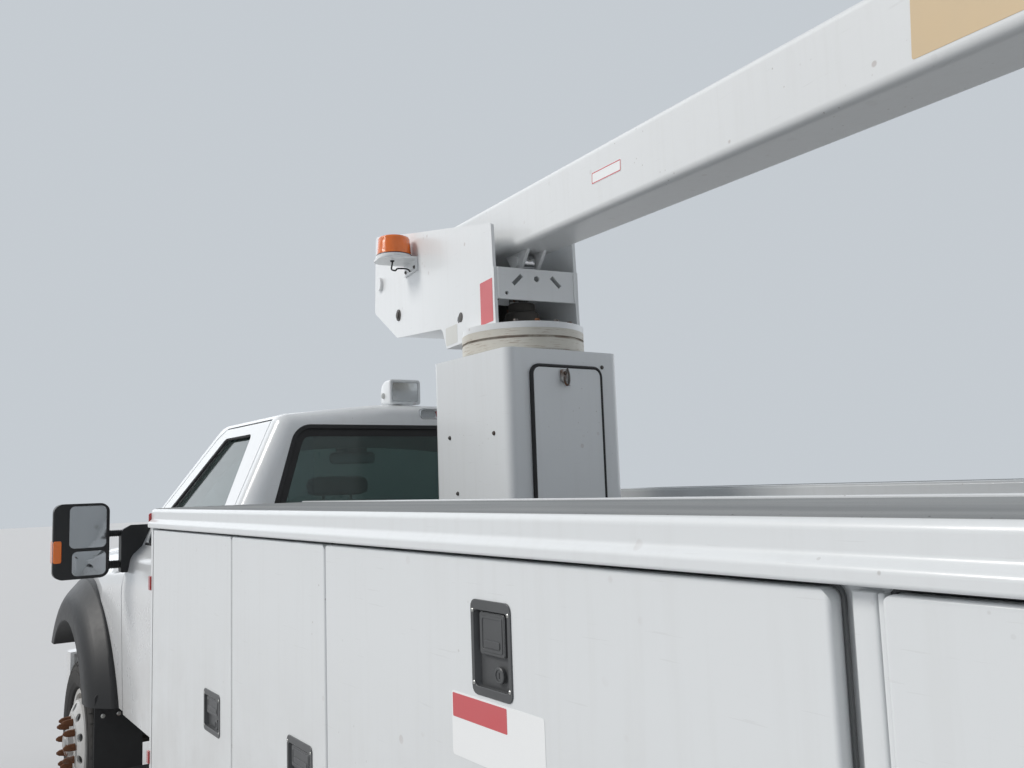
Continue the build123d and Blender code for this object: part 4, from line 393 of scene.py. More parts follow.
def mirror_face():
    s = Surface("mirror_face", Metallic=1.0)
    film = s.noise(5.0, 5.0)
    # The silvering is set far darker than a real mirror's: painted shade, standing for the dark surroundings
    # it reflects
    s.set(Base_Color=s.mix(film * 0.4, (0.36, 0.38, 0.40), (0.27, 0.285, 0.30)), Roughness=0.03 + film * 0.05)
    return s.material


def label(name, colour, edge=0.85):
    """Blank sign vinyl, faded and lifting a little in the sun."""
    s = Surface(name, Coat_Weight=0.2, Coat_Roughness=0.2)
    faded = s.noise(14.0, 5.0).above(0.45, 0.4)
    shade = s.mix(faded * 0.45, colour, tuple(c * edge + 0.06 for c in colour))
    s.set(Base_Color=shade, Roughness=0.38 + faded * 0.15)
    s.bump(s.noise(60.0, 3.0), 0.15, 0.0004)
    return s.material


WHITE_PAINT = painted("white_paint", WHITE, rust=0.12)
BOOM_PAINT = painted("boom_paint", (0.76, 0.775, 0.78), rust=0.20, gloss=0.36, coat=0.25)
CAB_PAINT = painted("cab_paint", (0.77, 0.785, 0.795), rust=0.05, gloss=0.20, coat=0.6)
BLACK_PLASTIC = moulded("black_plastic", (0.011, 0.0115, 0.0125), 0.46, dust=0.15)
FLARE_PLASTIC = moulded("flare_plastic", (0.012, 0.0122, 0.013), 0.46, 300.0, 0.20, 0.15)
SEAL_RUBBER = moulded("seal_rubber", (0.016, 0.016, 0.017), 0.62, 200.0, 0.2)
# Door seals in grey rather than black rubber: painted shade, standing for white paint in shade in the door
# gaps
DOOR_SEAL = moulded("door_seal", (0.085, 0.088, 0.090), 0.60, 200.0, 0.2)
LAMP_GLASS = glazing("lamp_glass", (0.90, 0.92, 0.93), 0.95)
LATCH_PAINT = moulded("latch_paint", LATCH_GREY, 0.38, 240.0, 0.15, 0.5)
CHASSIS_COAT = chassis_coat()
TYRE_RUBBER = rubber()
DECK_LINER = deck_liner()
RAIL_LINER = rail_liner()
RING_PAINT = ring_paint()
GEL_COAT = gel_coat()
WHEEL_PAINT = painted("wheel_paint", (0.66, 0.67, 0.67), rust=0.35, dust=0.9, gloss=0.34, coat=0.2)
NUT_STEEL = rusty_steel("nut_steel", (0.16, 0.12, 0.10), 0.95, 0.55, 0.5)
BARE_STEEL = rusty_steel("bare_steel", STEEL, 0.35)
ZINC = rusty_steel("zinc", (0.52, 0.52, 0.50), 0.12, 0.34, 0.9)
DARK_BOLT = rusty_steel("dark_bolt", (0.10, 0.095, 0.09), 0.35, 0.5, 0.7)
ROD_CHROME = rusty_steel("rod_chrome", (0.70, 0.70, 0.71), 0.0, 0.12, 1.0)
REFLECTOR = rusty_steel("reflector", (0.78, 0.78, 0.78), 0.0, 0.10, 1.0)
CAB_GLAZING = glazing("cab_glazing", (0.21, 0.29, 0.275))
DOOR_GLAZING = glazing("door_glazing", (0.27, 0.34, 0.33))
VINYL_GREY = moulded("vinyl_grey", VINYL, 0.48, 150.0, 0.4)
DASH_PLASTIC = moulded("dash_plastic", (0.070, 0.070, 0.074), 0.55)
AMBER_LENS = lens("amber_lens", AMBER, 0.12, "Z", 60.0)
RED_GLASS = lens("red_lens", RED_LENS, 0.25)
CLEAR_LENS = lens("clear_lens", (0.83, 0.86, 0.88), 0.75, "Z", 90.0)
GRILLE_CHROME = rusty_steel("grille_chrome", (0.60, 0.61, 0.62), 0.0, 0.16, 1.0)
MIRROR_FACE = mirror_face()
RED_LABEL = label("red_label", LABEL_RED)
WHITE_LABEL = label("white_label", (0.88, 0.89, 0.89), 0.9)
FADED_LABEL = label("faded_label", (0.66, 0.66, 0.62))
CREAM_LABEL = label("cream_label", LABEL_CREAM)


def dress(material, *names):
    for name in names:
        data = NODES[name].data
        data.materials.clear()
        data.materials.append(material)


def both(name):
    return (name + "_left", name + "_right")


PAINTED_NODES = [*both("side_pack"), *both("pack_door_1"), *both("pack_door_2"), *both("pack_door_3"),
                 *both("pack_door_4"), "arch_panels", "tail_shelf", "pedestal", "pedestal_door"]
dress(WHITE_PAINT, *PAINTED_NODES)
dress(CAB_PAINT, "cab_shell", *both("cab_door"), "hood", "fenders", "front_bumper")
dress(BOOM_PAINT, "turret", "outer_boom", "inner_boom", "platform_bracket", "boom_rest", "cylinder_barrel")
dress(BLACK_PLASTIC, *both("cab_mirror"), "cab_steps")
dress(FLARE_PLASTIC, "fender_flares")
dress(CHASSIS_COAT, "chassis_frame", "springs", "axles", "driveline", "fuel_tank", "engine_block",
      *both("knuckle"))
dress(BARE_STEEL, "exhaust")
dress(WHEEL_PAINT, *both("wheel_front"), *both("wheel_rear"))
dress(DECK_LINER, "cargo_floor")
dress(RING_PAINT, "slewing_ring")
dress(GEL_COAT, "bucket")
dress(ROD_CHROME, "cylinder_rod")
dress(CAB_GLAZING, "cab_glass")
dress(DOOR_GLAZING, *both("cab_door_glass"))
dress(VINYL_GREY, "seat")
dress(DASH_PLASTIC, "dashboard")
dress(GRILLE_CHROME, "grille")
dress(TYRE_RUBBER, *both("tyre_front"), *both("tyres_rear"))
dress(CLEAR_LENS, "lamps")
dress(AMBER_LENS, "beacon")


# Mesh work

def rounded(corners, steps=5):
    """Outline points of a polygon. A corner with a third number is rounded to that radius."""
    points = []
    for index, corner in enumerate(corners):
        x, y = corner[0], corner[1]
        if len(corner) == 2:
            points.append((x, y))
            continue
        last, following = corners[index - 1], corners[(index + 1) % len(corners)]
        back = Vector((last[0] - x, last[1] - y)).normalized()
        ahead = Vector((following[0] - x, following[1] - y)).normalized()
        half = back.angle(ahead) / 2
        reach = corner[2] / (sin(half) / cos(half))
        centre = Vector((x, y)) + (back + ahead).normalized() * corner[2] / sin(half)
        start = Vector((x, y)) + back * reach - centre
        turn = pi - 2 * half
        if back.x * ahead.y - back.y * ahead.x > 0:
            turn = -turn
        for step in range(steps + 1):
            angle = turn * step / steps
            points.append((centre.x + start.x * cos(angle) - start.y * sin(angle),
                           centre.y + start.x * sin(angle) + start.y * cos(angle)))
    return points


def rectangle(low, high, radius=0.0, steps=4):
    corners = [(low[0], low[1]), (high[0], low[1]), (high[0], high[1]), (low[0], high[1])]
    if radius:
        return rounded([(x, y, radius) for x, y in corners], steps)
    return corners


def regular(count, radius, turn=0.0):
    return [(radius * cos(2 * pi * k / count + turn), radius * sin(2 * pi * k / count + turn))
            for k in range(count)]


def drawn_in(outline, distance):
    """The outline moved in by a distance, or out where the distance is negative."""
    moved = []
    for index, (x, y) in enumerate(outline):
        before, after = outline[index - 1], outline[(index + 1) % len(outline)]
        a = Vector((x - before[0], y - before[1])).normalized()
        b = Vector((after[0] - x, after[1] - y)).normalized()
        inward = Vector((-(a.y + b.y), a.x + b.x))
        if inward.length < 1e-9:
            inward = Vector((-a.y, a.x))
        inward.normalize()
        share = max(inward.x * -a.y + inward.y * a.x, 0.3)
        moved.append((x + inward.x * distance / share, y + inward.y * distance / share))
    return moved


def smooth_path(points, steps=6):
    """More points on a smooth curve through the given ones."""
    spots = [Vector(p) for p in points]
    path = []
    for index in range(len(spots) - 1):
        p0, p1 = spots[max(index - 1, 0)], spots[index]
        p2, p3 = spots[index + 1], spots[min(index + 2, len(spots) - 1)]
        for step in range(steps):
            t = step / steps
            path.append(0.5 * (2 * p1 + (p2 - p0) * t + (2 * p0 - 5 * p1 + 4 * p2 - p3) * t ** 2
                               + (3 * p1 - p0 - 3 * p2 + p3) * t ** 3))
    return path + [spots[-1]]


class Part:
    """A mesh in the making. Each form takes one of the piece's materials by its number."""

    def __init__(self, name, *materials):
        self.name = name
        self.materials = materials
        self.points = []
        self.faces = []
        self.slots = []

    def add(self, points, faces, place=None, material=0):
        start = len(self.points)
        self.points += [place @ Vector(p) if place else Vector(p) for p in points]
        self.faces += [[start + index for index in face] for face in faces]
        self.slots += [material] * len(faces)

    def layers(self, rings, place=None, material=0, caps=True, closed=False):
        """Rings with the same number of points, joined one to the next."""
        count = len(rings[0])
        faces = []
        for level in range(len(rings) if closed else len(rings) - 1):
            low, high = level * count, (level + 1) % len(rings) * count
            for index in range(count):
                after = (index + 1) % count
                faces.append((low + index, low + after, high + after, high + index))
        if caps and not closed:
            faces.append(tuple(reversed(range(count))))
            faces.append(tuple(range((len(rings) - 1) * count, len(rings) * count)))
        self.add([point for ring in rings for point in ring], faces, place, material)

    def slab(self, outline, low, high, place=None, edge=0.001, material=0):
        """A plate of that outline whose upper and lower edges are broken."""
        inner = drawn_in(outline, edge)
        levels = ((inner, low), (outline, low + edge), (outline, high - edge), (inner, high))
        self.layers([[(x, y, w) for x, y in points] for points, w in levels], place, material)

    def box(self, low, high, place=None, radius=0.003, edge=0.0015, material=0):
        self.slab(rectangle(low[:2], high[:2], radius, 3), low[2], high[2], place, edge, material)

    def hoop(self, outer, inner, low, high, place=None, edge=0.001, material=0):
        """A flat frame between two outlines that have the same number of points."""
        sides = ((outer, low), (outer, high - edge), (drawn_in(outer, edge), high),
                 (drawn_in(inner, -edge), high), (inner, high - edge), (inner, low))
        self.layers([[(x, y, w) for x, y in points] for points, w in sides], place, material, closed=True)

    def lathe(self, profile, place=None, sides=32, material=0, caps=True, closed=False):
        """A turned form. The profile's points are (radius, height) and go up its outside."""
        rings = [[(r * cos(2 * pi * k / sides), r * sin(2 * pi * k / sides), h) for k in range(sides)]
                 for r, h in profile]
        self.layers(rings, place, material, caps, closed)

    def sweep(self, path, radius, place=None, sides=10, material=0, closed=False):
        """A round bar along a path. The radius is a number, or one for each point."""
        path = [Vector(p) for p in path]
        count = len(path)
        radii = radius if isinstance(radius, list) else [radius] * count
        normal = None
        rings = []
        for index, point in enumerate(path):
            if closed:
                along = path[(index + 1) % count] - path[index - 1]
            else:
                along = path[min(index + 1, count - 1)] - path[max(index - 1, 0)]
            along.normalize()
            if normal is None:
                normal = along.orthogonal()
            normal = (normal - along * normal.dot(along)).normalized()
            across = along.cross(normal)
            turns = [2 * pi * k / sides for k in range(sides)]
            rings.append([point + radii[index] * (normal * cos(a) + across * sin(a)) for a in turns])
        self.layers(rings, place, material, closed=closed)

    def bolt(self, place, size=0.010, material=0):
        """A hexagon head on a washer. Size is the head's radius over its corners."""
        self.lathe([(size * 1.25, 0), (size * 1.25, size * 0.16), (size * 1.1, size * 0.22)], place, 20,
                   material)
        self.slab(regular(6, size), size * 0.2, size * 0.85, place, size * 0.12, material)

    def screw(self, place, radius=0.004, material=0, slot=0):
        """A domed head with a driver's slot."""
        self.lathe([(radius, 0), (radius, radius * 0.25), (radius * 0.75, radius * 0.5),
                    (radius * 0.3, radius * 0.6)], place, 14, material)
        long, wide = radius * 0.7, radius * 0.12
        self.slab(rectangle((-long, -wide), (long, wide)), radius * 0.35, radius * 0.62, place,
                  radius * 0.03, slot)

    def weld(self, path, radius=0.004, place=None, material=0):
        """A rippled bead along a line of points."""
        spots = [Vector(p) for p in path]
        fine = []
        for first, second in zip(spots, spots[1:]):
            count = max(2, int((second - first).length / (radius * 1.2)))
            fine += [first.lerp(second, step / count) for step in range(count)]
        fine.append(spots[-1])
        radii = [radius * (1.0 if index % 2 else 0.78) for index in range(len(fine))]
        self.sweep(fine, radii, place, 8, material)

    def mirrored(self, name):
        """The same form on the vehicle's other side."""
        twin = Part(name, *self.materials)
        twin.points = [Vector((p.x, -p.y, p.z)) for p in self.points]
        twin.faces = [face[::-1] for face in self.faces]
        twin.slots = list(self.slots)
        return twin

    def done(self, body, slot, *nodes, sharp=34):
        """Makes the piece, rides it on its body and hides the nodes that it takes the place of."""
        mesh = bpy.data.meshes.new(self.name)
        mesh.from_pydata(self.points, [], self.faces)
        for material in self.materials:
            mesh.materials.append(material)
        mesh.polygons.foreach_set("material_index", self.slots)
        mesh.shade_smooth()
        mesh.set_sharp_from_angle(angle=radians(sharp))
        piece = bpy.data.objects.new(self.name, mesh)
        scene.collection.objects.link(piece)
        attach(piece, body)
        if nodes:
            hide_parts(*nodes)
        return piece

    def pair(self, body, slot, *nodes, sharp=34):
        """The piece on the left, and its mirror image on the right."""
        right = self.mirrored(self.name + "_right")
        self.name += "_left"
        for side, part in (("left", self), ("right", right)):
            part.done(body.format(side), slot, *[node.format(side) for node in nodes], sharp=sharp)


def at(x, y, z, facing=FACING_UP):
    """A place in the vehicle's frame, with the way that the work on it faces."""
    return Matrix.Translation((x, y, z)) @ facing


def framed(origin, first, second, third):
    """The frame with that origin and those three axes."""
    rows = [(first[k], second[k], third[k], origin[k]) for k in range(3)]
    return Matrix((*rows, (0, 0, 0, 1)))


# Side packs

# Latches: distance back from the body's front end, height of the middle, width and height
LATCHES = {1: (0.673, 1.082, 0.138, 0.110), 2: (1.288, 1.082, 0.138, 0.110),
           3: (2.038, 1.420, 0.106, 0.141), 4: (2.800, 1.082, 0.138, 0.110)}
LATCH_DEPTH = 0.009

# Doors: front edge and rear edge as distances back from the body's front end, and bottom height
DOORS = {1: (0.028, 0.831, DOOR_BOTTOM), 2: (0.837, 1.425, DOOR_BOTTOM), 3: (1.431, 2.627, DROP_DOOR_BOTTOM),
         4: (2.683, 3.325, DOOR_BOTTOM)}


def pack_latches():
    """Sunk paddle latches: a flange with four screws, a tray, a square paddle and a key cylinder."""
    for number, (back, height, width, tall) in LATCHES.items():
        latch = Part(f"latch_{number}", LATCH_PAINT, ZINC, SEAL_RUBBER)
        face = at(BODY_FRONT - back, PACK_OUT, height, FACING_LEFT)
        w, h = width / 2, tall / 2
        rim = 0.0085
        flange = rectangle((-w, -h), (w, h), 0.012)
        mouth = rectangle((-w + rim, -h + 0.013), (w - rim, h - 0.0155), 0.007)
        latch.hoop(flange, mouth, -0.001, 0.0022, face, 0.0008)
        inner_w, inner_h = w - rim, h - rim
        wall = rectangle((-inner_w, -inner_h), (inner_w, inner_h), 0.009)
        foot = drawn_in(wall, 0.0035)
        sides = [[(x, y, 0.0008) for x, y in wall], [(x, y, 0.0006 - LATCH_DEPTH) for x, y in foot]]
        latch.layers(sides, face, caps=False)
        latch.add([(x, y, 0.0007 - LATCH_DEPTH) for x, y in foot], [tuple(range(len(foot)))], face)
        low = -inner_h * 0.15 - 0.0006
        paddle_w, top = inner_w - 0.0114, inner_h - 0.0094
        latch.slab(rectangle((-paddle_w, low), (paddle_w, top), 0.005), -LATCH_DEPTH, -0.0010, face, 0.0012)
        ridge = rectangle((-paddle_w + 0.005, low + 0.005), (paddle_w - 0.005, top - 0.005), 0.004)
        hollow = rectangle((-paddle_w + 0.009, low + 0.009), (paddle_w - 0.009, top - 0.009), 0.003)
        latch.hoop(ridge, hollow, -0.002, 0.0, face, 0.0005)
        grip = rectangle((-paddle_w + 0.012, low + 0.011), (paddle_w - 0.012, low + 0.022), 0.003)
        latch.slab(grip, -0.002, 0.0004, face, 0.0006)
        key = face @ at(inner_w - 0.030, (low - inner_h) / 2, -LATCH_DEPTH + 0.0004)
        latch.lathe([(0.0122, 0), (0.0122, 0.0062), (0.0108, 0.0072), (0.0085, 0.0072), (0.0082, 0.0060)],
                    key, 28)
        latch.slab(rectangle((-0.0012, -0.0045), (0.0012, 0.0045)), 0.0055, 0.0064, key, 0.0002, 2)
        for x in (-1, 1):
            for y in (-1, 1):
                latch.screw(face @ at(x * (w - 0.0058), y * h * 0.76, 0.0018), 0.0030, 1, 2)
        latch.pair(f"pack_door_{number}_{{}}", "black_plastic")


def door_seals():
    """Bulb seals round the doors' openings, seen in the gaps as dark lines. They are coloured mid grey rather
    than black rubber, which is painted shade: the look of white paint in shade in the gaps.
    """
    seals = Part("door_seals", DOOR_SEAL)
    for front, rear, bottom in DOORS.values():
        x1, x0 = BODY_FRONT - front + 0.003, BODY_FRONT - rear - 0.003
        outline = rectangle((x0, bottom - 0.003), (x1, DOOR_TOP + 0.003), 0.014, 5)
        seals.sweep([(x, PACK_OUT - 0.021, z) for x, z in reversed(outline)], 0.0028, sides=8, closed=True)
    seals.pair("chassis", "black_plastic")


def door_posts():
    """The painted post between the drop door and the rear door, with its jamb and hinge strip."""
    posts = Part("door_posts", WHITE_PAINT)
    front_edge, rear_edge = BODY_FRONT - DOORS[3][1], BODY_FRONT - DOORS[4][0]
    seat = PACK_OUT - 0.0268
    jamb = (rear_edge - 0.020, front_edge + 0.020, seat - 0.006, seat, 0.0005)
    post = (rear_edge + 0.012, front_edge - 0.017, seat - 0.004, seat + 0.016, 0.004)
    hinge_strip = (rear_edge + 0.0015, rear_edge + 0.0085, seat - 0.004, seat + 0.019, 0.002)
    for x0, x1, y0, y1, corner in (jamb, post, hinge_strip):
        posts.box((x0, y0, DROP_DOOR_BOTTOM + 0.006), (x1, y1, DOOR_TOP - 0.001), None, corner, 0.001)
    posts.pair("chassis", "white_paint")


def door_hinges():
    """Stainless piano hinges: a row of knuckles down the hinged edges of the doors."""
    hinges = Part("door_hinges", ZINC)
    y = PACK_OUT - 0.0035
    gap = 0.003
    edges = (BODY_FRONT - DOORS[1][0] + gap, BODY_FRONT - DOORS[2][0] + gap, BODY_FRONT - DOORS[4][1] - gap)
    for x in edges:
        for index in range(36):
            z = DOOR_BOTTOM + 0.012 + index * 0.0247
            hinges.lathe([(0.0016, 0), (0.0022, 0.0006), (0.0022, 0.0232), (0.0016, 0.0238)], at(x, y, z), 10)
    lying = Matrix.Rotation(pi / 2, 4, "Y")
    for index in range(46):
        x = BODY_FRONT - DOORS[3][1] + 0.010 + index * 0.0256
        hinges.lathe([(0.0016, 0), (0.0022, 0.0006), (0.0022, 0.0242), (0.0016, 0.0248)],
                     at(x, y, DROP_DOOR_BOTTOM - gap, lying), 10)
    hinges.pair("chassis", "ring_steel")


def rail_tops():
    """Grip coating on the rails' tops, with a thin white bead along its inner edge."""
    top = Part("rail_liner", RAIL_LINER)
    coat = [(PACK_IN + 0.018, RAIL_TOP - 0.001), (PACK_IN + 0.020, RAIL_TOP + 0.0018),
            (PACK_OUT - 0.014, RAIL_TOP + 0.0018), (PACK_OUT - 0.0105, RAIL_TOP + 0.0004),
            (PACK_OUT - 0.0105, RAIL_TOP - 0.001)]
    stations = [BODY_REAR + 0.012 + (BODY_FRONT - BODY_REAR - 0.024) * k / 40 for k in range(41)]
    top.layers([[(x, y, z) for y, z in reversed(coat)] for x in stations])
    top.pair("chassis", "black_plastic")
    bead = Part("rail_bead", WHITE_PAINT)
    section = [(0.001, -0.002), (0.001, 0.004), (0.004, 0.006), (0.014, 0.006), (0.017, 0.004),
               (0.017, -0.002)]
    bead.layers([[(x, PACK_IN + y, RAIL_TOP + z) for y, z in section]
                 for x in (BODY_FRONT - 0.004, BODY_REAR + 0.004)])
    bead.pair("chassis", "white_paint")


def pack_markers():
    """Small red reflectors on the body's front corners and a red marker at each rail's front end."""
    marks = Part("pack_markers", RED_GLASS, LATCH_PAINT)
    for z, half in ((0.820, 0.020), (1.376, 0.023)):
        corner = at(BODY_FRONT + 0.004, PACK_OUT + 0.0005, z, FACING_LEFT)
        marks.box((-0.012, -half, -0.002), (0.010, half, 0.0045), corner, 0.003, 0.001)
    for z, half in ((0.820, 0.023), (1.376, 0.026)):
        backing = at(BODY_FRONT, PACK_OUT - 0.030, z, FACING_FRONT)
        marks.box((-0.010, -half, 0), (0.030, half, 0.003), backing, 0.004, 0.0008, 1)
    rail_end = at(BODY_FRONT, PACK_OUT - 0.004, RAIL_TOP - 0.030, FACING_FRONT)
    marks.box((-0.012, -0.016, 0), (0.012, 0.016, 0.012), rail_end, 0.005, 0.003)
    marks.pair("chassis", "amber_lens")


def pack_fasteners():
    """Bolts through the packs' front and rear walls, and round the lips of the wheel arches."""
    bolts = Part("pack_bolts", ZINC)
    for y in (PACK_IN + 0.06, PACK_IN + 0.27, PACK_OUT - 0.06):
        for z in (0.68, 1.10, 1.50):
            bolts.bolt(at(BODY_FRONT, y, z, FACING_FRONT), 0.008)
            bolts.bolt(at(BODY_REAR, y, z, FACING_REAR), 0.008)
    lip_r, lip_z = 0.492, TYRE_R + 0.012
    for k in range(9):
        angle = radians(18 + 18 * k)
        x, z = REAR_AXLE_X + lip_r * cos(angle), lip_z + lip_r * sin(angle)
        bolts.bolt(at(x, PACK_OUT + 0.014, z, FACING_LEFT), 0.0055)
    bolts.pair("chassis", "ring_steel")


def door_label():
    """A blank label under the latch of the left drop door: a red band over white."""
    sign = Part("door_label", WHITE_LABEL, RED_LABEL)
    face = at(-1.366, PACK_OUT, 1.247, FACING_LEFT)
    sign.slab(rectangle((0, 0), (0.242, 0.097), 0.005), 0, 0.0005, face, 0.0001, 0)
    sign.slab(rectangle((0.003, 0.058), (0.152, 0.094), 0.002), 0.0003, 0.0008, face, 0.0001, 1)
    sign.done("pack_door_3_left", "white_paint")


# Pedestal, ring and turret

def pedestal_gasket():
    """Black trim pressed over the edge of the pedestal's door."""
    gasket = Part("pedestal_gasket", SEAL_RUBBER)
    x = PEDESTAL_X - PEDESTAL_HALF
    outline = rectangle((-0.155, 1.230), (0.155, 2.063), 0.034, 8)
    outer, inner = drawn_in(outline, -0.004), drawn_in(outline, 0.009)
    gasket.hoop(outer, inner, 0.0008, 0.0135, at(x, 0, 0, FACING_REAR), 0.0045)
    gasket.done("pedestal_door", "black_plastic")


def pedestal_latch():
    """A steel hook that turns over the top edge of the pedestal's door."""
    hook = Part("pedestal_latch", BARE_STEEL, DARK_BOLT)
    x = PEDESTAL_X - PEDESTAL_HALF - 0.0115
    hook.slab(rectangle((-0.035, 2.005), (-0.005, 2.050), 0.008), 0, 0.010, at(x, 0, 0, FACING_REAR), 0.002)
    loop = smooth_path([(x - 0.012, 0.011, 2.052), (x - 0.019, 0.010, 2.028), (x - 0.020, 0.012, 2.003),
                        (x - 0.020, 0.021, 1.993), (x - 0.020, 0.030, 2.003), (x - 0.019, 0.031, 2.022)], 8)
    hook.sweep(loop, 0.0034, sides=12, material=1)
    hook.bolt(at(x - 0.010, 0.020, 2.036, FACING_REAR), 0.006, 1)
    hook.done("pedestal_door", "ring_steel")


def pedestal_fittings():
    """Bolts through the pedestal's sides and its foot flange, and weld beads at its foot and ring."""
    bolts = Part("pedestal_bolts", DARK_BOLT, ZINC)
    for x, z in ((0.182, 1.836), (-0.106, 1.835), (0.137, 1.634)):
        for side, facing in ((1, FACING_LEFT), (-1, FACING_RIGHT)):
            bolts.bolt(at(x, side * PEDESTAL_HALF, z, facing), 0.0062)
    bolts.bolt(at(PEDESTAL_X - PEDESTAL_HALF, -0.167, 2.067, FACING_REAR), 0.0060)
    flange = PEDESTAL_HALF + 0.030
    for k in range(5):
        along = -0.22 + 0.11 * k
        for x, y in ((along, flange), (along, -flange), (flange, along), (-flange, along)):
            bolts.bolt(at(PEDESTAL_X + x, y, DECK_TOP + 0.016), 0.012, 1)
    bolts.done("chassis", "ring_steel")
    seams = Part("pedestal_welds", WHITE_PAINT)
    h = PEDESTAL_HALF + 0.001
    corners = rectangle((PEDESTAL_X - h, -h), (PEDESTAL_X + h, h), 0.033, 5)
    seams.weld([(x, y, DECK_TOP + 0.0175) for x, y in corners + corners[:1]], 0.006)
    ring = regular(48, RING_R + 0.001)
    seams.weld([(PEDESTAL_X + x, y, PEDESTAL_TOP + 0.001) for x, y in ring + ring[:1]], 0.0045)
    seams.done("chassis", "white_paint")


def turret_base_bolts():
    """Socket-headed bolts that hold the turret's base plate on the slewing ring."""
    bolts = Part("turret_base_bolts", DARK_BOLT)
    for k in range(16):
        angle = 2 * pi * (k + 0.5) / 16
        x, y = 0.196 * cos(angle), 0.196 * sin(angle)
        if abs(y) < 0.150:
            bolts.lathe([(0.009, 0), (0.009, 0.011), (0.0078, 0.013), (0.0046, 0.013), (0.0044, 0.008)],
                        TURRET @ at(x, y, TURRET_FLOOR), 18)
    bolts.done("turret", "ring_steel")


def turret_pins():
    """Collars on the pins' ends, and plugs in the side plates' spare holes."""
    pins = Part("turret_pins", DARK_BOLT)
    for facing, y in ((FACING_LEFT, TURRET_HALF), (FACING_RIGHT, -TURRET_HALF)):
        pivot = TURRET @ at(BOOM_PIVOT.x, y, BOOM_PIVOT.z, facing)
        pins.lathe([(0.024, 0), (0.024, 0.003), (0.019, 0.004), (0.019, 0.0080), (0.015, 0.0095)], pivot, 28)
        base = TURRET @ at(CYLINDER_PIN.x, y, CYLINDER_PIN.z, facing)
        pins.lathe([(0.026, 0), (0.026, 0.005), (0.016, 0.006), (0.016, 0.0092), (0.013, 0.0105)], base, 24)
        plug = TURRET @ at(0.180, y, 2.304, facing)
        pins.lathe([(0.019, -0.004), (0.019, 0.0016), (0.015, 0.0024)], plug, 22)
    pins.done("turret", "ring_steel")


def turret_works():
    """What shows between the side plates: the swivel's manifold, steel pipes, the pinion's box and a wide
    black plate that is painted shade.
    """
    works = Part("turret_works", CHASSIS_COAT, DARK_BOLT, ZINC)
    works.lathe([(0.060, 0), (0.064, 0.004), (0.064, 0.062), (0.058, 0.068), (0.050, 0.070), (0.050, 0.100),
                 (0.042, 0.104)], TURRET @ at(0, 0, TURRET_FLOOR), 32)
    motor = TURRET @ at(0.150, -0.060, TURRET_FLOOR)
    works.box((-0.05, -0.045, 0), (0.05, 0.045, 0.085), motor, 0.008, 0.004)
    works.lathe([(0.034, 0.085), (0.034, 0.195), (0.029, 0.199)], motor, 24)
    works.box((-0.034, -0.055, 0), (0.034, 0.055, 0.050), TURRET @ at(0.155, 0.075, TURRET_FLOOR), 0.006,
              0.003)
    # A wide black plate across the back: painted shade, a dark sheet that stands for the shade inside the
    # turret
    works.box((-0.020, -0.158, 0), (0.020, 0.158, 0.150), TURRET @ at(0.262, 0, TURRET_FLOOR), 0.006, 0.004)
    for k in range(4):
        works.bolt(TURRET @ at(0.150, 0.040 + 0.018 * k, TURRET_FLOOR + 0.050), 0.0075, 2)
    for k, y in enumerate((-0.026, -0.008, 0.012, 0.030)):
        path = smooth_path([(0.006 * k, y, 2.330), (0.012 + 0.008 * k, y * 1.1, 2.372),
                            (0.070, y * 1.7, 2.400 + 0.006 * k), (0.190, y * 2.0, 2.418 + 0.008 * k),
                            (0.330, y * 2.2, 2.420 + 0.010 * k), (0.430, y * 2.4, 2.392 + 0.010 * k)], 7)
        works.sweep(path, 0.0062, TURRET, 10, 1)
        for end in (path[0], path[-1]):
            works.lathe([(0.0095, -0.008), (0.0095, 0.008)], TURRET @ at(*end), 6, 2)
    works.done("turret", "frame_black")


def turret_labels():
    """Blank labels on the turret's plates: a tall red one at the rear edge and a small white one."""
    signs = Part("turret_labels", RED_LABEL, FADED_LABEL)
    for y, facing in ((TURRET_HALF, FACING_LEFT), (-TURRET_HALF, FACING_RIGHT)):
        red = TURRET @ at(-0.060, y, 2.316, facing)
        signs.slab(rectangle((-0.053, -0.078), (0.053, 0.078), 0.003), 0, 0.0006, red, 0.0001, 0)
        white = TURRET @ at(0.277, y, 2.250, facing)
        signs.slab(rectangle((-0.058, -0.036), (0.058, 0.036), 0.003), 0, 0.0006, white, 0.0001, 1)
    signs.done("turret", "white_paint")


def cross_plate_welds():
    """Weld beads that join the rear cross plate to the side plates."""
    seams = Part("turret_rear_bolts", BOOM_PAINT)
    x = -0.1285
    for y in (-0.155, 0.155):
        seams.weld([(x, y, 2.320), (x, y, 2.429)], 0.004, TURRET)
    seams.done("turret", "white_paint")


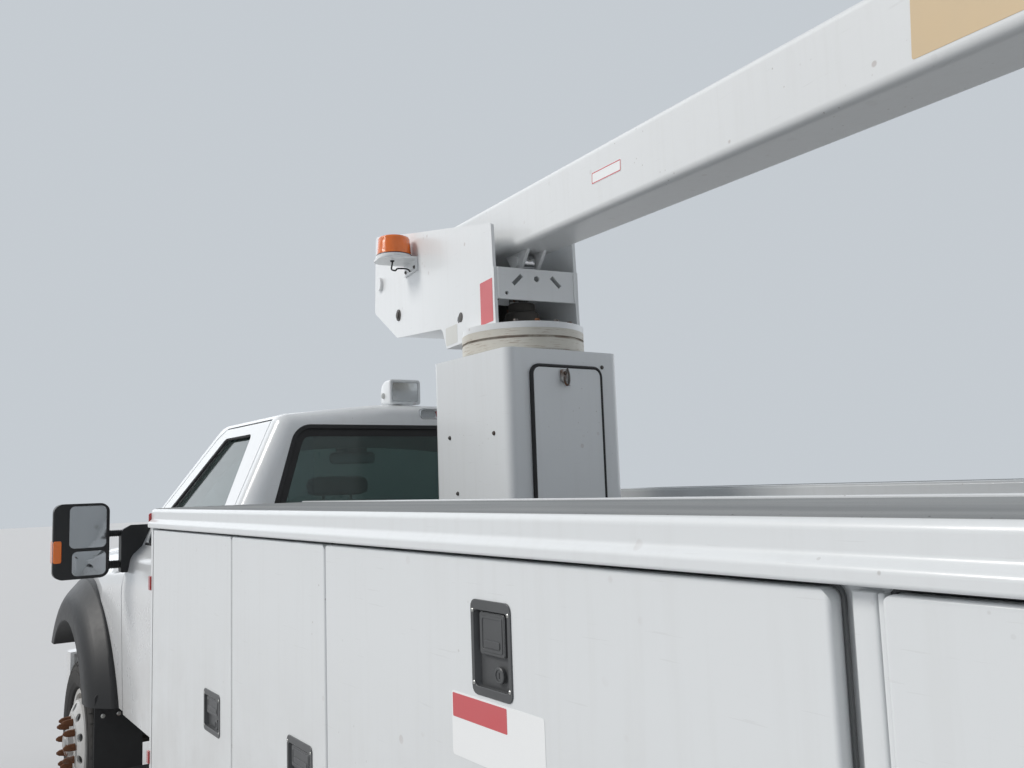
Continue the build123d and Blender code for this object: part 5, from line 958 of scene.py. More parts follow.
def beacon_pieces():
    """Amber beacon: a ribbed lens on a white base over its bracket, with its wire looped below."""
    y = TURRET_HALF + 0.0003
    reach = BEACON_R + 0.002
    # The bracket hangs a fixed drop below the side plate's sloping top edge
    (edge_x0, edge_z0), (edge_x1, edge_z1) = (0.700, 2.776), (1.221, 2.897)
    z = edge_z0 + (edge_z1 - edge_z0) * (BEACON_X - edge_x0) / (edge_x1 - edge_x0) - 0.124
    centre = TURRET @ at(BEACON_X, y + reach, z)
    lens_part = Part("beacon_lens", AMBER_LENS)
    profile = [(BEACON_R - 0.012, 0.012)]
    levels = 13
    for k in range(levels):
        height = 0.016 + 0.070 * k / (levels - 1)
        radius = BEACON_R - 0.003 - 0.006 * k / (levels - 1)
        profile += [(radius - 0.0007, height - 0.0018), (radius, height), (radius - 0.0007, height + 0.0018)]
    profile += [(BEACON_R - 0.013, 0.0935), (BEACON_R - 0.024, 0.0975), (0.030, 0.0992), (0.004, 0.0998)]
    lens_part.lathe(profile, centre, 64)
    lens_part.done("turret", "amber_lens", "beacon")
    inside = Part("beacon_inside", REFLECTOR, LATCH_PAINT)
    inside.lathe([(0.022, 0.0), (0.022, 0.018), (0.012, 0.022), (0.012, 0.046), (0.004, 0.050)], centre,
                 24, 1)
    plate = [(-0.030, -0.012, 0.020), (0.030, -0.012, 0.020), (0.030, -0.028, 0.070), (-0.030, -0.028, 0.070)]
    inside.add(plate, [(0, 1, 2, 3)], centre, 0)
    inside.done("turret", "amber_lens")
    base = Part("beacon_bracket", BOOM_PAINT, SEAL_RUBBER, DARK_BOLT)
    base.lathe([(BEACON_R - 0.006, 0.0), (BEACON_R, 0.002), (BEACON_R, 0.011), (BEACON_R - 0.003, 0.014),
                (0.030, 0.014)], centre, 64, 0)
    base.lathe([(BEACON_R - 0.002, 0.0112), (BEACON_R - 0.0004, 0.0125), (BEACON_R - 0.0004, 0.0150),
                (BEACON_R - 0.002, 0.0162)], centre, 64, 1, caps=False)
    shelf = rounded([(-reach, 0), (reach, 0), (reach, 2 * reach, reach * 0.6),
                     (-reach, 2 * reach, reach * 0.6)], 8)
    base.slab(shelf, z - 0.010, z, TURRET @ at(BEACON_X, y, 0), 0.001, 0)
    base.slab(rectangle((-reach, z - 0.060), (reach, z), 0.006), 0, 0.008,
              TURRET @ at(BEACON_X, y, 0, FACING_LEFT), 0.001, 0)
    for x in (-0.055, 0.055):
        base.bolt(TURRET @ at(BEACON_X - x, y + 0.008, z - 0.042, FACING_LEFT), 0.0065, 2)
    base.done("turret", "white_paint")
    wire = Part("beacon_wire", SEAL_RUBBER)
    start = (BEACON_X - 0.010, y + reach + 0.012, z - 0.010)
    path = smooth_path([start, (BEACON_X - 0.014, y + reach + 0.014, z - 0.024),
                        (BEACON_X + 0.020, y + reach + 0.006, z - 0.040),
                        (BEACON_X + 0.046, y + reach - 0.020, z - 0.038),
                        (BEACON_X + 0.040, y + 0.050, z - 0.030), (BEACON_X + 0.010, y + 0.020, z - 0.036),
                        (BEACON_X - 0.004, y + 0.010, z - 0.050)], 8)
    wire.sweep(path, 0.0036, TURRET, 10)
    wire.lathe([(0.009, -0.003), (0.010, 0.0), (0.008, 0.004), (0.005, 0.006)],
               TURRET @ at(*start, FACING_DOWN), 18)
    wire.done("turret", "black_plastic")


# Boom

def boom_labels():
    """Blank labels on the boom's sides: a small one with a red edge, and a long cream one."""
    signs = Part("boom_labels", WHITE_LABEL, RED_LABEL, CREAM_LABEL)
    for facing, y in ((FACING_LEFT, BOOM_HALF_WIDTH), (FACING_RIGHT, -BOOM_HALF_WIDTH)):
        small = BOOM @ at(-1.909, y, BOOM_RISE + 0.006, facing)
        w, h = 0.081, 0.018
        signs.slab(rectangle((-w, -h), (w, h), 0.004), 0, 0.0006, small, 0.0001, 0)
        signs.hoop(rectangle((-w + 0.001, -h + 0.001), (w - 0.001, h - 0.001), 0.004),
                   rectangle((-w + 0.004, -h + 0.004), (w - 0.004, h - 0.004), 0.003),
                   0.0003, 0.0009, small, 0.0001, 1)
        long = BOOM @ at(-3.435, y, BOOM_RISE + 0.002, facing)
        w, h = 0.445, 0.076
        signs.slab(rectangle((-w, -h), (w, h), 0.006), 0, 0.0006, long, 0.0001, 2)
    signs.done("outer_boom", "white_paint")


def boom_fittings():
    """Wear-pad screws round the boom's mouth and the weld bead behind its collar."""
    screws = Part("boom_screws", DARK_BOLT)
    half_height, half_width = BOOM_HALF_HEIGHT + 0.012, BOOM_HALF_WIDTH + 0.012
    for x in (BOOM_MOUTH + 0.025, BOOM_MOUTH + 0.065):
        for y in (-0.045, 0.045):
            screws.bolt(BOOM @ at(x, y, BOOM_RISE + half_height), 0.0085)
            screws.bolt(BOOM @ at(x, y, BOOM_RISE - half_height, FACING_DOWN), 0.0085)
        for z in (-0.050, 0.050):
            screws.bolt(BOOM @ at(x, half_width, BOOM_RISE + z, FACING_LEFT), 0.0085)
            screws.bolt(BOOM @ at(x, -half_width, BOOM_RISE + z, FACING_RIGHT), 0.0085)
    screws.done("outer_boom", "ring_steel")
    seams = Part("boom_welds", BOOM_PAINT)
    w, h = BOOM_HALF_WIDTH + 0.0015, BOOM_HALF_HEIGHT + 0.0015
    outline = rectangle((-w, -h), (w, h), 0.0235, 5)
    x = BOOM_MOUTH + 0.0905
    seams.weld([(x, y, BOOM_RISE + z) for y, z in outline + outline[:1]], 0.0045, BOOM)
    seams.done("outer_boom", "white_paint")


def boom_tip():
    """The bolted frame on the inner boom's open end."""
    end = Part("inner_boom_fittings", ZINC)
    face = BOOM @ at(BOOM_TIP, 0, BOOM_RISE, FACING_REAR)
    end.hoop(rectangle((-0.079, -0.092), (0.079, 0.092), 0.020, 5),
             rectangle((-0.058, -0.070), (0.058, 0.070), 0.012, 5), 0.0, 0.004, face, 0.0015)
    for x in (-0.068, 0.068):
        for y in (-0.070, 0.0, 0.070):
            end.bolt(face @ at(x, y, 0.004), 0.0065)
    end.done("inner_boom", "ring_steel")


def lift_cylinder():
    """The barrel's neck ring, gland nut, ports and steel pipe, and the rod eye's washers and nipple."""
    along = (LUG_PIN - CYLINDER_PIN).normalized()
    side = Vector((0, 1, 0))
    ram = TURRET @ framed(CYLINDER_PIN, along, side, along.cross(side))
    endways = Matrix.Rotation(pi / 2, 4, "Y")
    leftward, rightward = Matrix.Rotation(-pi / 2, 4, "X"), Matrix.Rotation(pi / 2, 4, "X")
    port_xs = (0.070, 0.640)
    barrel = Part("cylinder_fittings", BOOM_PAINT, ZINC, DARK_BOLT)
    neck = ram @ at(port_xs[1], 0, 0, endways)
    barrel.lathe([(0.047, 0.0), (0.0495, 0.002), (0.0495, 0.022), (0.047, 0.024)], neck, 32)
    gland = ram @ at(0.6705, 0, 0, endways)
    barrel.lathe([(0.0500, 0.0), (0.0500, 0.028), (0.046, 0.032), (0.030, 0.033)], gland, 8, 1)
    for x in port_xs:
        barrel.lathe([(0.014, 0.0), (0.014, 0.012), (0.012, 0.014)], ram @ at(x, 0.0615, 0, leftward), 6, 1)
    pipe = [(0.070, 0.074, 0.0), (0.076, 0.080, 0.006), (0.110, 0.082, 0.010), (0.300, 0.070, 0.012),
            (0.520, 0.070, 0.012), (0.610, 0.078, 0.008), (0.640, 0.076, 0.0)]
    barrel.sweep(smooth_path(pipe, 6), 0.0055, ram, 10, 2)
    barrel.done("lift_barrel", "ring_steel")
    rod = Part("rod_fittings", ZINC)
    reach = (LUG_PIN - CYLINDER_PIN).length
    for y, facing in ((-0.0221, rightward), (0.0221, leftward)):
        rod.lathe([(0.0285, 0), (0.0285, 0.0012), (0.0200, 0.0018)], ram @ at(reach, y, 0, facing), 28)
    rod.lathe([(0.0052, 0.0), (0.0052, 0.004), (0.0026, 0.005), (0.0034, 0.009), (0.0020, 0.011)],
              ram @ at(reach + 0.0295, 0, 0, endways), 12)
    rod.done("lift_rod", "ring_steel")


# Bucket

def bucket_pieces():
    """Rubber over the bucket's lip, its floor mat, the step, the harness ring and the plate's bolts."""
    x = BUCKET_PIVOT.x
    y = BUCKET_PLATE_Y - 0.0003 - BUCKET_HALF
    middle = TURRET @ at(x, y, 0)
    trim = Part("bucket_trim", SEAL_RUBBER)
    outer = rectangle((-0.320, -0.320), (0.320, 0.320), 0.064, 7)
    inner = rectangle((-0.290, -0.290), (0.290, 0.290), 0.036, 7)
    trim.hoop(outer, inner, BUCKET_TOP - 0.002, BUCKET_TOP + 0.012, middle, 0.005)
    mat = rectangle((-0.286, -0.286), (0.286, 0.286), 0.034, 6)
    mat_top = BUCKET_FLOOR + 0.0095
    trim.slab(mat, BUCKET_FLOOR, mat_top, middle, 0.002)
    for k in range(9):
        v = -0.24 + 0.06 * k
        trim.box((-0.26, v - 0.008, mat_top - 0.001), (0.26, v + 0.008, mat_top + 0.0025), middle, 0.003,
                 0.001)
    trim.done("platform", "black_plastic")
    fittings = Part("bucket_fittings", GEL_COAT, ZINC)
    outside = TURRET @ at(x, y - BUCKET_HALF - 0.006, 0, FACING_RIGHT)
    fittings.hoop(rectangle((-0.125, 1.905), (0.125, 2.035), 0.020, 5),
                  rectangle((-0.100, 1.925), (0.100, 2.015), 0.014, 5), -0.002, 0.012, outside, 0.004)
    fittings.box((-0.100, 1.925, -0.004), (0.100, 1.945, 0.030), outside, 0.004, 0.003)
    for u, v in ((-0.24, 2.20), (0.24, 2.20), (-0.24, 1.80), (0.24, 1.80)):
        fittings.bolt(TURRET @ at(x + u, y + BUCKET_HALF - 0.0005, v, FACING_LEFT), 0.009, 1)
    ring_x, ring_y, ring_z = x - 0.20, y + BUCKET_HALF, 2.560
    ring = [(ring_x + u, ring_y + 0.016, ring_z + v) for u, v in regular(20, 0.022)]
    fittings.sweep(ring, 0.005, TURRET, 8, 1, closed=True)
    ring_plate = TURRET @ at(ring_x, ring_y + 0.002, ring_z, FACING_LEFT)
    fittings.box((-0.030, -0.020, -0.003), (0.030, 0.020, 0.008), ring_plate, 0.004, 0.001, 1)
    fittings.done("platform", "white_fibreglass")


def upper_controls():
    """The worker's levers on their box, a cover plate with screws, and bolts through the bucket's plate."""
    x, y = BUCKET_PIVOT.x, BUCKET_PLATE_Y
    controls = Part("upper_controls", BOOM_PAINT, SEAL_RUBBER, RED_LABEL, DARK_BOLT)
    box_top = BUCKET_PIVOT.z + 0.186
    for k in range(4):
        foot = TURRET @ at(x - 0.095 + 0.040 * k, y + 0.046, box_top - 0.001)
        controls.lathe([(0.013, 0.0), (0.013, 0.005), (0.009, 0.010), (0.006, 0.014)], foot, 20, 1)
        controls.sweep([(0, 0, 0.008), (0, -0.004, 0.040), (0, -0.006, 0.062)], 0.0038, foot, 8, 3)
        controls.lathe([(0.006, 0.058), (0.012, 0.064), (0.0135, 0.073), (0.010, 0.082), (0.004, 0.085)],
                       foot, 20, 2 if k == 3 else 1)
    cover_z = BUCKET_PIVOT.z + 0.128
    cover = TURRET @ at(x, y + 0.093, cover_z, FACING_LEFT)
    controls.box((-0.112, -0.052, 0.0), (0.052, 0.048, 0.0022), cover, 0.006, 0.0008)
    for u, v in ((-0.100, -0.040), (0.042, -0.040), (-0.100, 0.038), (0.042, 0.038)):
        controls.screw(TURRET @ at(x - u, y + 0.095, cover_z + v, FACING_LEFT), 0.0045, 3, 1)
    plate = TURRET @ at(x, y + 0.014, 0, FACING_LEFT)
    for u, v in ((-0.13, 2.04), (0.13, 2.04), (-0.13, 2.30), (0.13, 2.30)):
        controls.bolt(plate @ at(u, v, 0), 0.011, 3)
    controls.done("platform", "white_paint")


# Cab

def mirror_faces():
    """A flat glass over a bulged wide-angle one, the amber marker and the arms' ribbed sleeves."""
    glass = Part("mirror_glass", MIRROR_FACE, SEAL_RUBBER)
    face = at(MIRROR_BACK + 0.0035, 0, 0, FACING_REAR)
    inner_y = 1.098
    wide_angle = rectangle((-1.241, 1.321), (-inner_y, 1.432), 0.024, 6)
    centre_u, centre_v = -(1.242 + 1.097) / 2, (1.320 + 1.433) / 2
    rings = [[(u, v, -0.001) for u, v in wide_angle]]
    for share in (1.0, 0.85, 0.7, 0.55, 0.4, 0.25, 0.1, 0.02):
        bulge = 0.0018 + 0.0034 * (1 - share ** 2)
        rings.append([(centre_u + (u - centre_u) * share, centre_v + (v - centre_v) * share, bulge)
                      for u, v in wide_angle])
    glass.layers(rings, face)
    flat = rectangle((-1.253, 1.442), (-inner_y, 1.631), 0.024, 6)
    glass.slab(flat, -0.001, 0.0030, face, 0.0012)
    for shape in (wide_angle, flat):
        glass.hoop(drawn_in(shape, -0.001), drawn_in(shape, 0.0022), 0, 0.0042, face, 0.001, 1)
    glass.pair("cab_door_{}", "window_glass")
    marker = Part("mirror_marker", AMBER_LENS)
    back = rectangle((-1.3148, 1.384), (-1.2820, 1.480), 0.008)
    marker.slab(back, -0.004, 0.0045, at(MIRROR_BACK, 0, 0, FACING_REAR), 0.002)
    side = rectangle((-1.840, 1.384), (-1.790, 1.480), 0.008)
    marker.slab(side, 0, 0.0011, at(0, 1.3142, 0, FACING_LEFT), 0.0004)
    marker.pair("cab_door_{}", "amber_lens")
    arms = Part("mirror_arms", BLACK_PLASTIC)
    for z, r in ((1.360, 0.0185), (1.500, 0.0150)):
        for k in range(7):
            rib = at(1.820, 1.030 + 0.009 * k, z, FACING_LEFT)
            arms.lathe([(r - 0.0015, -0.0035), (r, -0.002), (r, 0.002), (r - 0.0015, 0.0035)], rib, 20)
    arms.pair("cab_door_{}", "black_plastic")


def cab_side(z):
    """How far out the side window's plane is at a height. It leans in from the belt to the roof."""
    belt_y, roof_y, belt_z, rise = 0.942, 0.712, 1.436, 0.520
    return belt_y - (z - belt_z) * (belt_y - roof_y) / rise


def window_lines():
    """The outlines of the door windows' openings, as (x, z), and of the rear window's, as (y, z)."""
    door = rounded([(0.810, BELT_Z, 0.020), (1.740, BELT_Z, 0.020), (1.740, 1.500, 0.020),
                    (1.215, 1.895, 0.060), (0.884, 1.895, 0.030), (0.836, 1.620)], 6)
    rear = rounded([(0.765, 1.530, 0.045), (0.654, 1.910, 0.075), (-0.654, 1.910, 0.075),
                    (-0.765, 1.530, 0.045)], 7)
    return door, rear


def window_rubbers():
    """Black rubber round the door glasses and the rear window, and the belt strips under the glasses."""
    door, rear = window_lines()
    seal = Part("door_window_rubber", SEAL_RUBBER)
    path = [(x, cab_side(z) - 0.010, z) for x, z in reversed(drawn_in(door, 0.004))]
    seal.sweep(path, 0.006, sides=10, closed=True)
    belt_y = cab_side(BELT_Z)
    seal.sweep([(x, belt_y, BELT_Z - 0.0055) for x in (0.806, 1.10, 1.744)], 0.0065, sides=10)
    seal.pair("cab_door_{}", "black_plastic")
    border = Part("rear_window_rubber", SEAL_RUBBER)
    rim = at(CAB_BACK + 0.0005, 0, 0, FACING_REAR)
    border.hoop(drawn_in(rear, -0.006), drawn_in(rear, 0.012), -0.010, 0.004, rim, 0.003)
    frit = at(CAB_BACK + 0.0078, 0, 0, FACING_REAR)
    border.hoop(drawn_in(rear, 0.0005), drawn_in(rear, 0.040), 0.0002, 0.0008, frit, 0.0002)
    border.done("chassis", "black_plastic")


def door_handles():
    """A sunk handle with its grip and key cylinder on each cab door."""
    handles = Part("door_handles", BLACK_PLASTIC, SEAL_RUBBER, ZINC)
    face = at(0, CAB_HALF - 0.0035, 0, FACING_LEFT)
    bezel = rectangle((-1.035, 1.235), (-0.825, 1.305), 0.026, 6)
    handles.hoop(bezel, drawn_in(bezel, 0.010), -0.004, 0.0055, face, 0.002)
    handles.slab(drawn_in(bezel, 0.008), -0.004, 0.0005, face, 0.0004, 1)
    grip = smooth_path([(0.840, CAB_HALF, 1.268), (0.866, CAB_HALF + 0.013, 1.269),
                        (0.930, CAB_HALF + 0.017, 1.270), (0.994, CAB_HALF + 0.013, 1.269),
                        (1.020, CAB_HALF, 1.268)], 7)
    handles.sweep(grip, 0.0095, sides=14)
    key = at(0.800, CAB_HALF - 0.005, 1.268, FACING_LEFT)
    handles.lathe([(0.0105, 0.0), (0.0105, 0.004), (0.0090, 0.005), (0.0065, 0.005)], key, 22, 2)
    handles.pair("cab_door_{}", "black_plastic")


def headlamps():
    """Curved headlamp lenses, with two bowls, bulbs and an amber reflector behind each."""
    front = FRONT_X - 0.235 + 0.0003
    facing = at(front, 0, 0, FACING_FRONT)
    head = Part("headlamp_lens", CLEAR_LENS)
    outline = rectangle((0.566, 0.985), (0.905, 1.292), 0.040, 6)
    rings = []
    for inset, share in ((0.0, 0.0), (0.0, 0.80), (0.006, 0.94), (0.020, 1.0)):
        ring = []
        for y, z in drawn_in(outline, inset):
            fall = max(0.0, (y - 0.835) / 0.070)
            ring.append((y, z, (0.044 - 0.030 * fall ** 1.6) * share))
        rings.append(ring)
    head.layers(rings, facing)
    head.pair("chassis", "clear_lens", "lamps")
    inside = Part("headlamp_bowls", REFLECTOR, AMBER_LENS, LATCH_PAINT)
    for z, r in ((1.185, 0.078), (1.055, 0.050)):
        place = at(front, 0.655, z, FACING_FRONT)
        inside.lathe([(0.010, 0.003), (r * 0.5, 0.006), (r * 0.8, 0.014), (r, 0.028), (r + 0.004, 0.029),
                      (r + 0.004, 0.002)], place, 40)
        inside.lathe([(0.009, 0.0), (0.011, 0.014), (0.010, 0.026), (0.003, 0.029)], place, 20, 2)
    inside.slab(rectangle((0.760, 1.020), (0.830, 1.250), 0.016, 4), 0.001, 0.024, facing, 0.006, 1)
    inside.pair("chassis", "clear_lens")


def tail_lamps():
    """Two round lamps a side: a red one with a clear middle, and a red one."""
    tail = Part("tail_lamp", RED_GLASS, LATCH_PAINT, CLEAR_LENS)
    for y, inner in ((0.954, 2), (1.104, 0)):
        place = at(TAIL_X + 0.0137, y, 0.755, FACING_REAR)
        tail.lathe([(0.054, 0.0), (0.054, 0.008), (0.0525, 0.0095), (0.051, 0.0095)], place, 48, 1)
        tail.lathe([(0.050, 0.004), (0.049, 0.0115), (0.040, 0.0135), (0.0365, 0.0135)], place, 48,
                   caps=False)
        tail.lathe([(0.0368, 0.004), (0.0362, 0.0130), (0.020, 0.0137), (0.002, 0.0137)], place, 40, inner)
    tail.pair("chassis", "clear_lens")


def work_lamp():
    """The white lamp on the roof: a tapered housing, its bezel, foot and side screws, and the bowl."""
    work = Part("work_lamp", WHITE_PAINT, ZINC)
    x0, x1, y0, y1, z0, z1 = 0.712, 0.885, 0.066, 0.212, 2.010, 2.116
    middle = (y0 + y1) / 2
    stations = ((x0 + 0.004, 0.0, 0.0, 0.0), (x0 + 0.055, 0.001, 0.002, 0.001),
                (x0 + 0.090, 0.008, 0.012, 0.004), (x0 + 0.125, 0.020, 0.032, 0.008),
                (x0 + 0.146, 0.034, 0.050, 0.016), (x1, 0.044, 0.060, 0.024))
    rings = []
    for x, narrow, drop, rise in stations:
        outline = rectangle((y0 + narrow, z0 + rise), (y1 - narrow, z1 - drop), 0.013, 5)
        rings.append([(x, y, z) for y, z in outline])
    work.layers(rings)
    bezel = rectangle((-y1, z0), (-y0, z1), 0.014, 5)
    face = at(x0 + 0.012, 0, 0, FACING_REAR)
    work.hoop(bezel, drawn_in(bezel, 0.012), 0.0, 0.012, face, 0.003)
    foot = at(x0 + 0.070, middle, 2.0033)
    work.lathe([(0.024, 0.0), (0.024, 0.003), (0.016, 0.006), (0.014, 0.018)], foot, 28, 1)
    for y, facing in ((y0 - 0.0015, FACING_RIGHT), (y1 + 0.0015, FACING_LEFT)):
        screw = at(x0 + 0.060, y, z0 + 0.040, facing)
        work.lathe([(0.012, -0.004), (0.012, 0.002), (0.010, 0.005), (0.004, 0.006)], screw, 20, 1)
    work.done("chassis", "white_paint")
    bowl = Part("work_lamp_bowl", REFLECTOR)
    mouth = rectangle((-y1 + 0.014, z0 + 0.014), (-y0 - 0.014, z1 - 0.014), 0.008, 4)
    rings = [[(u, v, depth) for u, v in drawn_in(mouth, inset)]
             for inset, depth in ((0.020, -0.002), (0.010, 0.001), (0.0, 0.009))]
    bowl.layers(rings, at(x0 + 0.0125, 0, 0, FACING_REAR))
    bowl.done("chassis", "clear_lens")
    bowl_frame = Part("work_lamp_frame", LATCH_PAINT)
    bowl_frame.hoop(drawn_in(bezel, 0.013), drawn_in(bezel, 0.024), 0.001, 0.006, face, 0.001)
    bowl_frame.done("chassis", "clear_lens")
    pane = Part("work_lamp_lens", LAMP_GLASS)
    pane.slab(drawn_in(bezel, 0.0125), 0.007, 0.0100, face, 0.0006)
    pane.done("chassis", "clear_lens")


def brake_lamp():
    """The high brake lamp over the rear window: red between two clear ends, in a bright frame."""
    brake = Part("brake_lamp", RED_GLASS, CLEAR_LENS, GRILLE_CHROME)
    place = at(0.6295, 0, 0, FACING_REAR)
    shape = rectangle((-0.118, 1.944), (0.118, 1.984), 0.017, 6)
    brake.hoop(drawn_in(shape, -0.003), drawn_in(shape, 0.004), -0.012, 0.005, place, 0.002, 2)
    brake.slab(rectangle((-0.040, 1.949), (0.040, 1.979), 0.006, 4), -0.010, 0.0035, place, 0.002, 0)
    for u0, u1 in ((-0.112, -0.044), (0.044, 0.112)):
        brake.slab(rectangle((u0, 1.949), (u1, 1.979), 0.010, 5), -0.010, 0.0035, place, 0.002, 1)
    brake.done("chassis", "amber_lens")


def windscreen_pieces():
    """Black band round the windscreen, and two wipers."""
    base, top = Vector((2.212, 0, 1.440)), Vector((1.467, 0, 1.950))
    length = (top - base).length
    up = (top - base).normalized()
    out = Vector((up.z, 0, -up.x))
    screen = framed(base, up.cross(out), up, out)
    drum = 3.100

    def sag(across):
        """How far the glass lies behind its middle."""
        return drum - (drum ** 2 - across ** 2) ** 0.5

    corners = rounded([(-0.840, 0.040, 0.060), (0.840, 0.040, 0.060), (0.620, length - 0.060, 0.070),
                       (-0.620, length - 0.060, 0.070)], 8)
    dense = []
    for (u0, v0), (u1, v1) in zip(corners, corners[1:] + corners[:1]):
        count = max(1, int(hypot(u1 - u0, v1 - v0) / 0.05))
        dense += [(u0 + (u1 - u0) * k / count, v0 + (v1 - v0) * k / count) for k in range(count)]
    border = Part("windscreen_band", SEAL_RUBBER)
    rings = []
    for inset, height in ((0.003, -0.004), (0.003, 0.0008), (0.026, 0.0010), (0.026, -0.004)):
        rings.append([(u, v, height - sag(u)) for u, v in drawn_in(dense, inset)])
    border.layers(rings, screen, closed=True)
    border.done("chassis", "black_plastic")
    wipers = Part("wipers", BLACK_PLASTIC, SEAL_RUBBER)
    for foot, tip in ((-0.480, 0.130), (0.150, 0.690)):
        sunk = sag(foot)
        path = [(foot, 0.030, 0.010 - sunk), (foot + 0.10, 0.050, 0.024 - sunk),
                ((foot + tip) / 2, 0.095, 0.026 - sunk), (tip - 0.03, 0.120, 0.022 - sunk)]
        wipers.sweep(smooth_path(path, 6), [0.0085] * 12 + [0.0065] * 7, screen, 10)
        spindle = screen @ at(foot, 0.030, 0.004 - sunk)
        wipers.lathe([(0.016, -0.010), (0.017, 0.006), (0.012, 0.012), (0.004, 0.014)], spindle, 20)
        for low, high, half, material in ((0.004, 0.010, 0.003, 1), (0.010, 0.019, 0.005, 0)):
            blade = []
            for k in range(13):
                u = max(-0.80, min(0.80, tip - 0.27 + 0.52 * k / 12))
                v = 0.085 + 0.05 * k / 12
                under, over = low - sag(u), high - sag(u)
                blade.append([(u, v - half, under), (u, v + half, under), (u, v + half, over),
                              (u, v - half, over)])
            wipers.layers(blade, screen, material)
    wipers.done("chassis", "black_plastic")


def grille_mesh():
    """Black honeycomb behind the grille's bars."""
    mesh = Part("grille_mesh", BLACK_PLASTIC)
    outer, inner = regular(6, 0.0214, pi / 6), regular(6, 0.0180, pi / 6)
    half = 0.520
    for row in range(11):
        for column in range(30):
            y = -half + 0.0358 * column + (0.0179 if row % 2 else 0.0)
            z = 0.872 + 0.038 * row
            if abs(y) <= half:
                mesh.hoop(outer, inner, 0.0, 0.010, at(3.4185, y, z, FACING_FRONT), 0.001)
    mesh.done("chassis", "black_plastic")


def front_plate():
    """A blank number plate in its holder on the front bumper."""
    front = Part("front_fittings", BLACK_PLASTIC, WHITE_LABEL, ZINC)
    face = at(FRONT_X - 0.0115, 0, 0, FACING_FRONT)
    front.slab(rectangle((-0.160, 0.575), (0.160, 0.680), 0.010), 0.0, 0.005, face, 0.001, 0)
    front.slab(rectangle((-0.150, 0.582), (0.150, 0.673), 0.010), 0.004, 0.0065, face, 0.0004, 1)
    for u in (-0.089, 0.089):
        for v in (0.592, 0.663):
            front.screw(face @ at(u, v, 0.0064), 0.0045, 2, 0)
    front.done("chassis", "black_plastic")


def hood_rests():
    """Rubber rests for the hood on the front panel's top."""
    rests = Part("hood_rests", SEAL_RUBBER)
    for y in (-0.60, -0.35, 0.35, 0.60):
        foot = at(3.330, y, 1.128)
        rests.lathe([(0.016, -0.004), (0.017, 0.000), (0.013, 0.004), (0.004, 0.005)], foot, 18)
    rests.done("chassis", "black_plastic")


def front_mud_flaps():
    """Mud flaps that hang from the flares' rear ends, each with three bolts."""
    flaps = Part("front_mud_flaps", SEAL_RUBBER, ZINC)
    x = 2.045
    flaps.slab(rectangle((0.872, 0.285), (1.088, 0.750), 0.018), 0, 0.008, at(x, 0, 0, FACING_FRONT), 0.002)
    for y in (0.91, 0.98, 1.05):
        flaps.bolt(at(x - 0.0002, y, 0.650, FACING_REAR), 0.008, 1)
    flaps.pair("chassis", "black_plastic")


def wheel_nuts(part, hub, face_y):
    """A ring of ten long pointed nut covers, each on its washer."""
    for x, z in regular(10, 0.1125):
        place = hub @ at(x, face_y, z, FACING_LEFT)
        part.lathe([(0.0215, 0.0), (0.0215, 0.003), (0.0195, 0.0045)], place, 22, 1)
        part.lathe([(0.0190, 0.004), (0.0185, 0.030), (0.0160, 0.040), (0.0148, 0.0475), (0.0055, 0.060)],
                   place, 6)


def wheel_pieces():
    """The nuts, hub trim with its bolts, and valve of each wheel."""
    front = Part("front_wheel_nuts", NUT_STEEL, BARE_STEEL, SEAL_RUBBER)
    hub = at(FRONT_AXLE_X, 0, TYRE_R)
    wheel_nuts(front, hub, 1.0745)
    centre = hub @ at(0, 1.1005, 0, FACING_LEFT)
    front.lathe([(0.0655, -0.004), (0.0640, 0.004), (0.056, 0.009), (0.040, 0.0105), (0.038, 0.0155),
                 (0.012, 0.0175)], centre, 40, 1)
    for u, v in regular(6, 0.0500):
        front.bolt(centre @ at(u, v, 0.0085), 0.0050)
    front.sweep([(0.188, 1.060, 0.0), (0.184, 1.075, 0.0), (0.178, 1.092, 0.0)], 0.0042, hub, 10, 2)
    front.pair("wheel_front_{}", "ring_steel")
    rear = Part("rear_wheel_nuts", NUT_STEEL, BARE_STEEL, SEAL_RUBBER)
    hub = at(REAR_AXLE_X, 0, TYRE_R)
    wheel_nuts(rear, hub, 0.9558)
    centre = hub @ at(0, 1.0495, 0, FACING_LEFT)
    rear.lathe([(0.060, -0.002), (0.059, 0.003), (0.052, 0.007), (0.012, 0.009)], centre, 36, 1)
    for u, v in regular(8, 0.0440):
        rear.bolt(centre @ at(u, v, 0.0072), 0.0065)
    rear.sweep([(0.150, 0.960, 0.120), (0.150, 1.010, 0.126), (0.146, 1.040, 0.130)], 0.0045, hub, 10, 2)
    rear.pair("wheel_rear_{}", "ring_steel")


# Tread rows: middle across the tyre, width, number of blocks and their shift round it in blocks
TREAD_ROWS = ((-0.0790, 0.0245, 48, 0.0), (-0.0400, 0.0235, 60, 0.5), (0.0, 0.0235, 60, 0.0),
              (0.0400, 0.0235, 60, 0.5), (0.0790, 0.0245, 48, 0.0))


def turned(radius, angle, y):
    """A point at that radius and angle round a wheel's axle."""
    return (radius * cos(angle), y, radius * sin(angle))


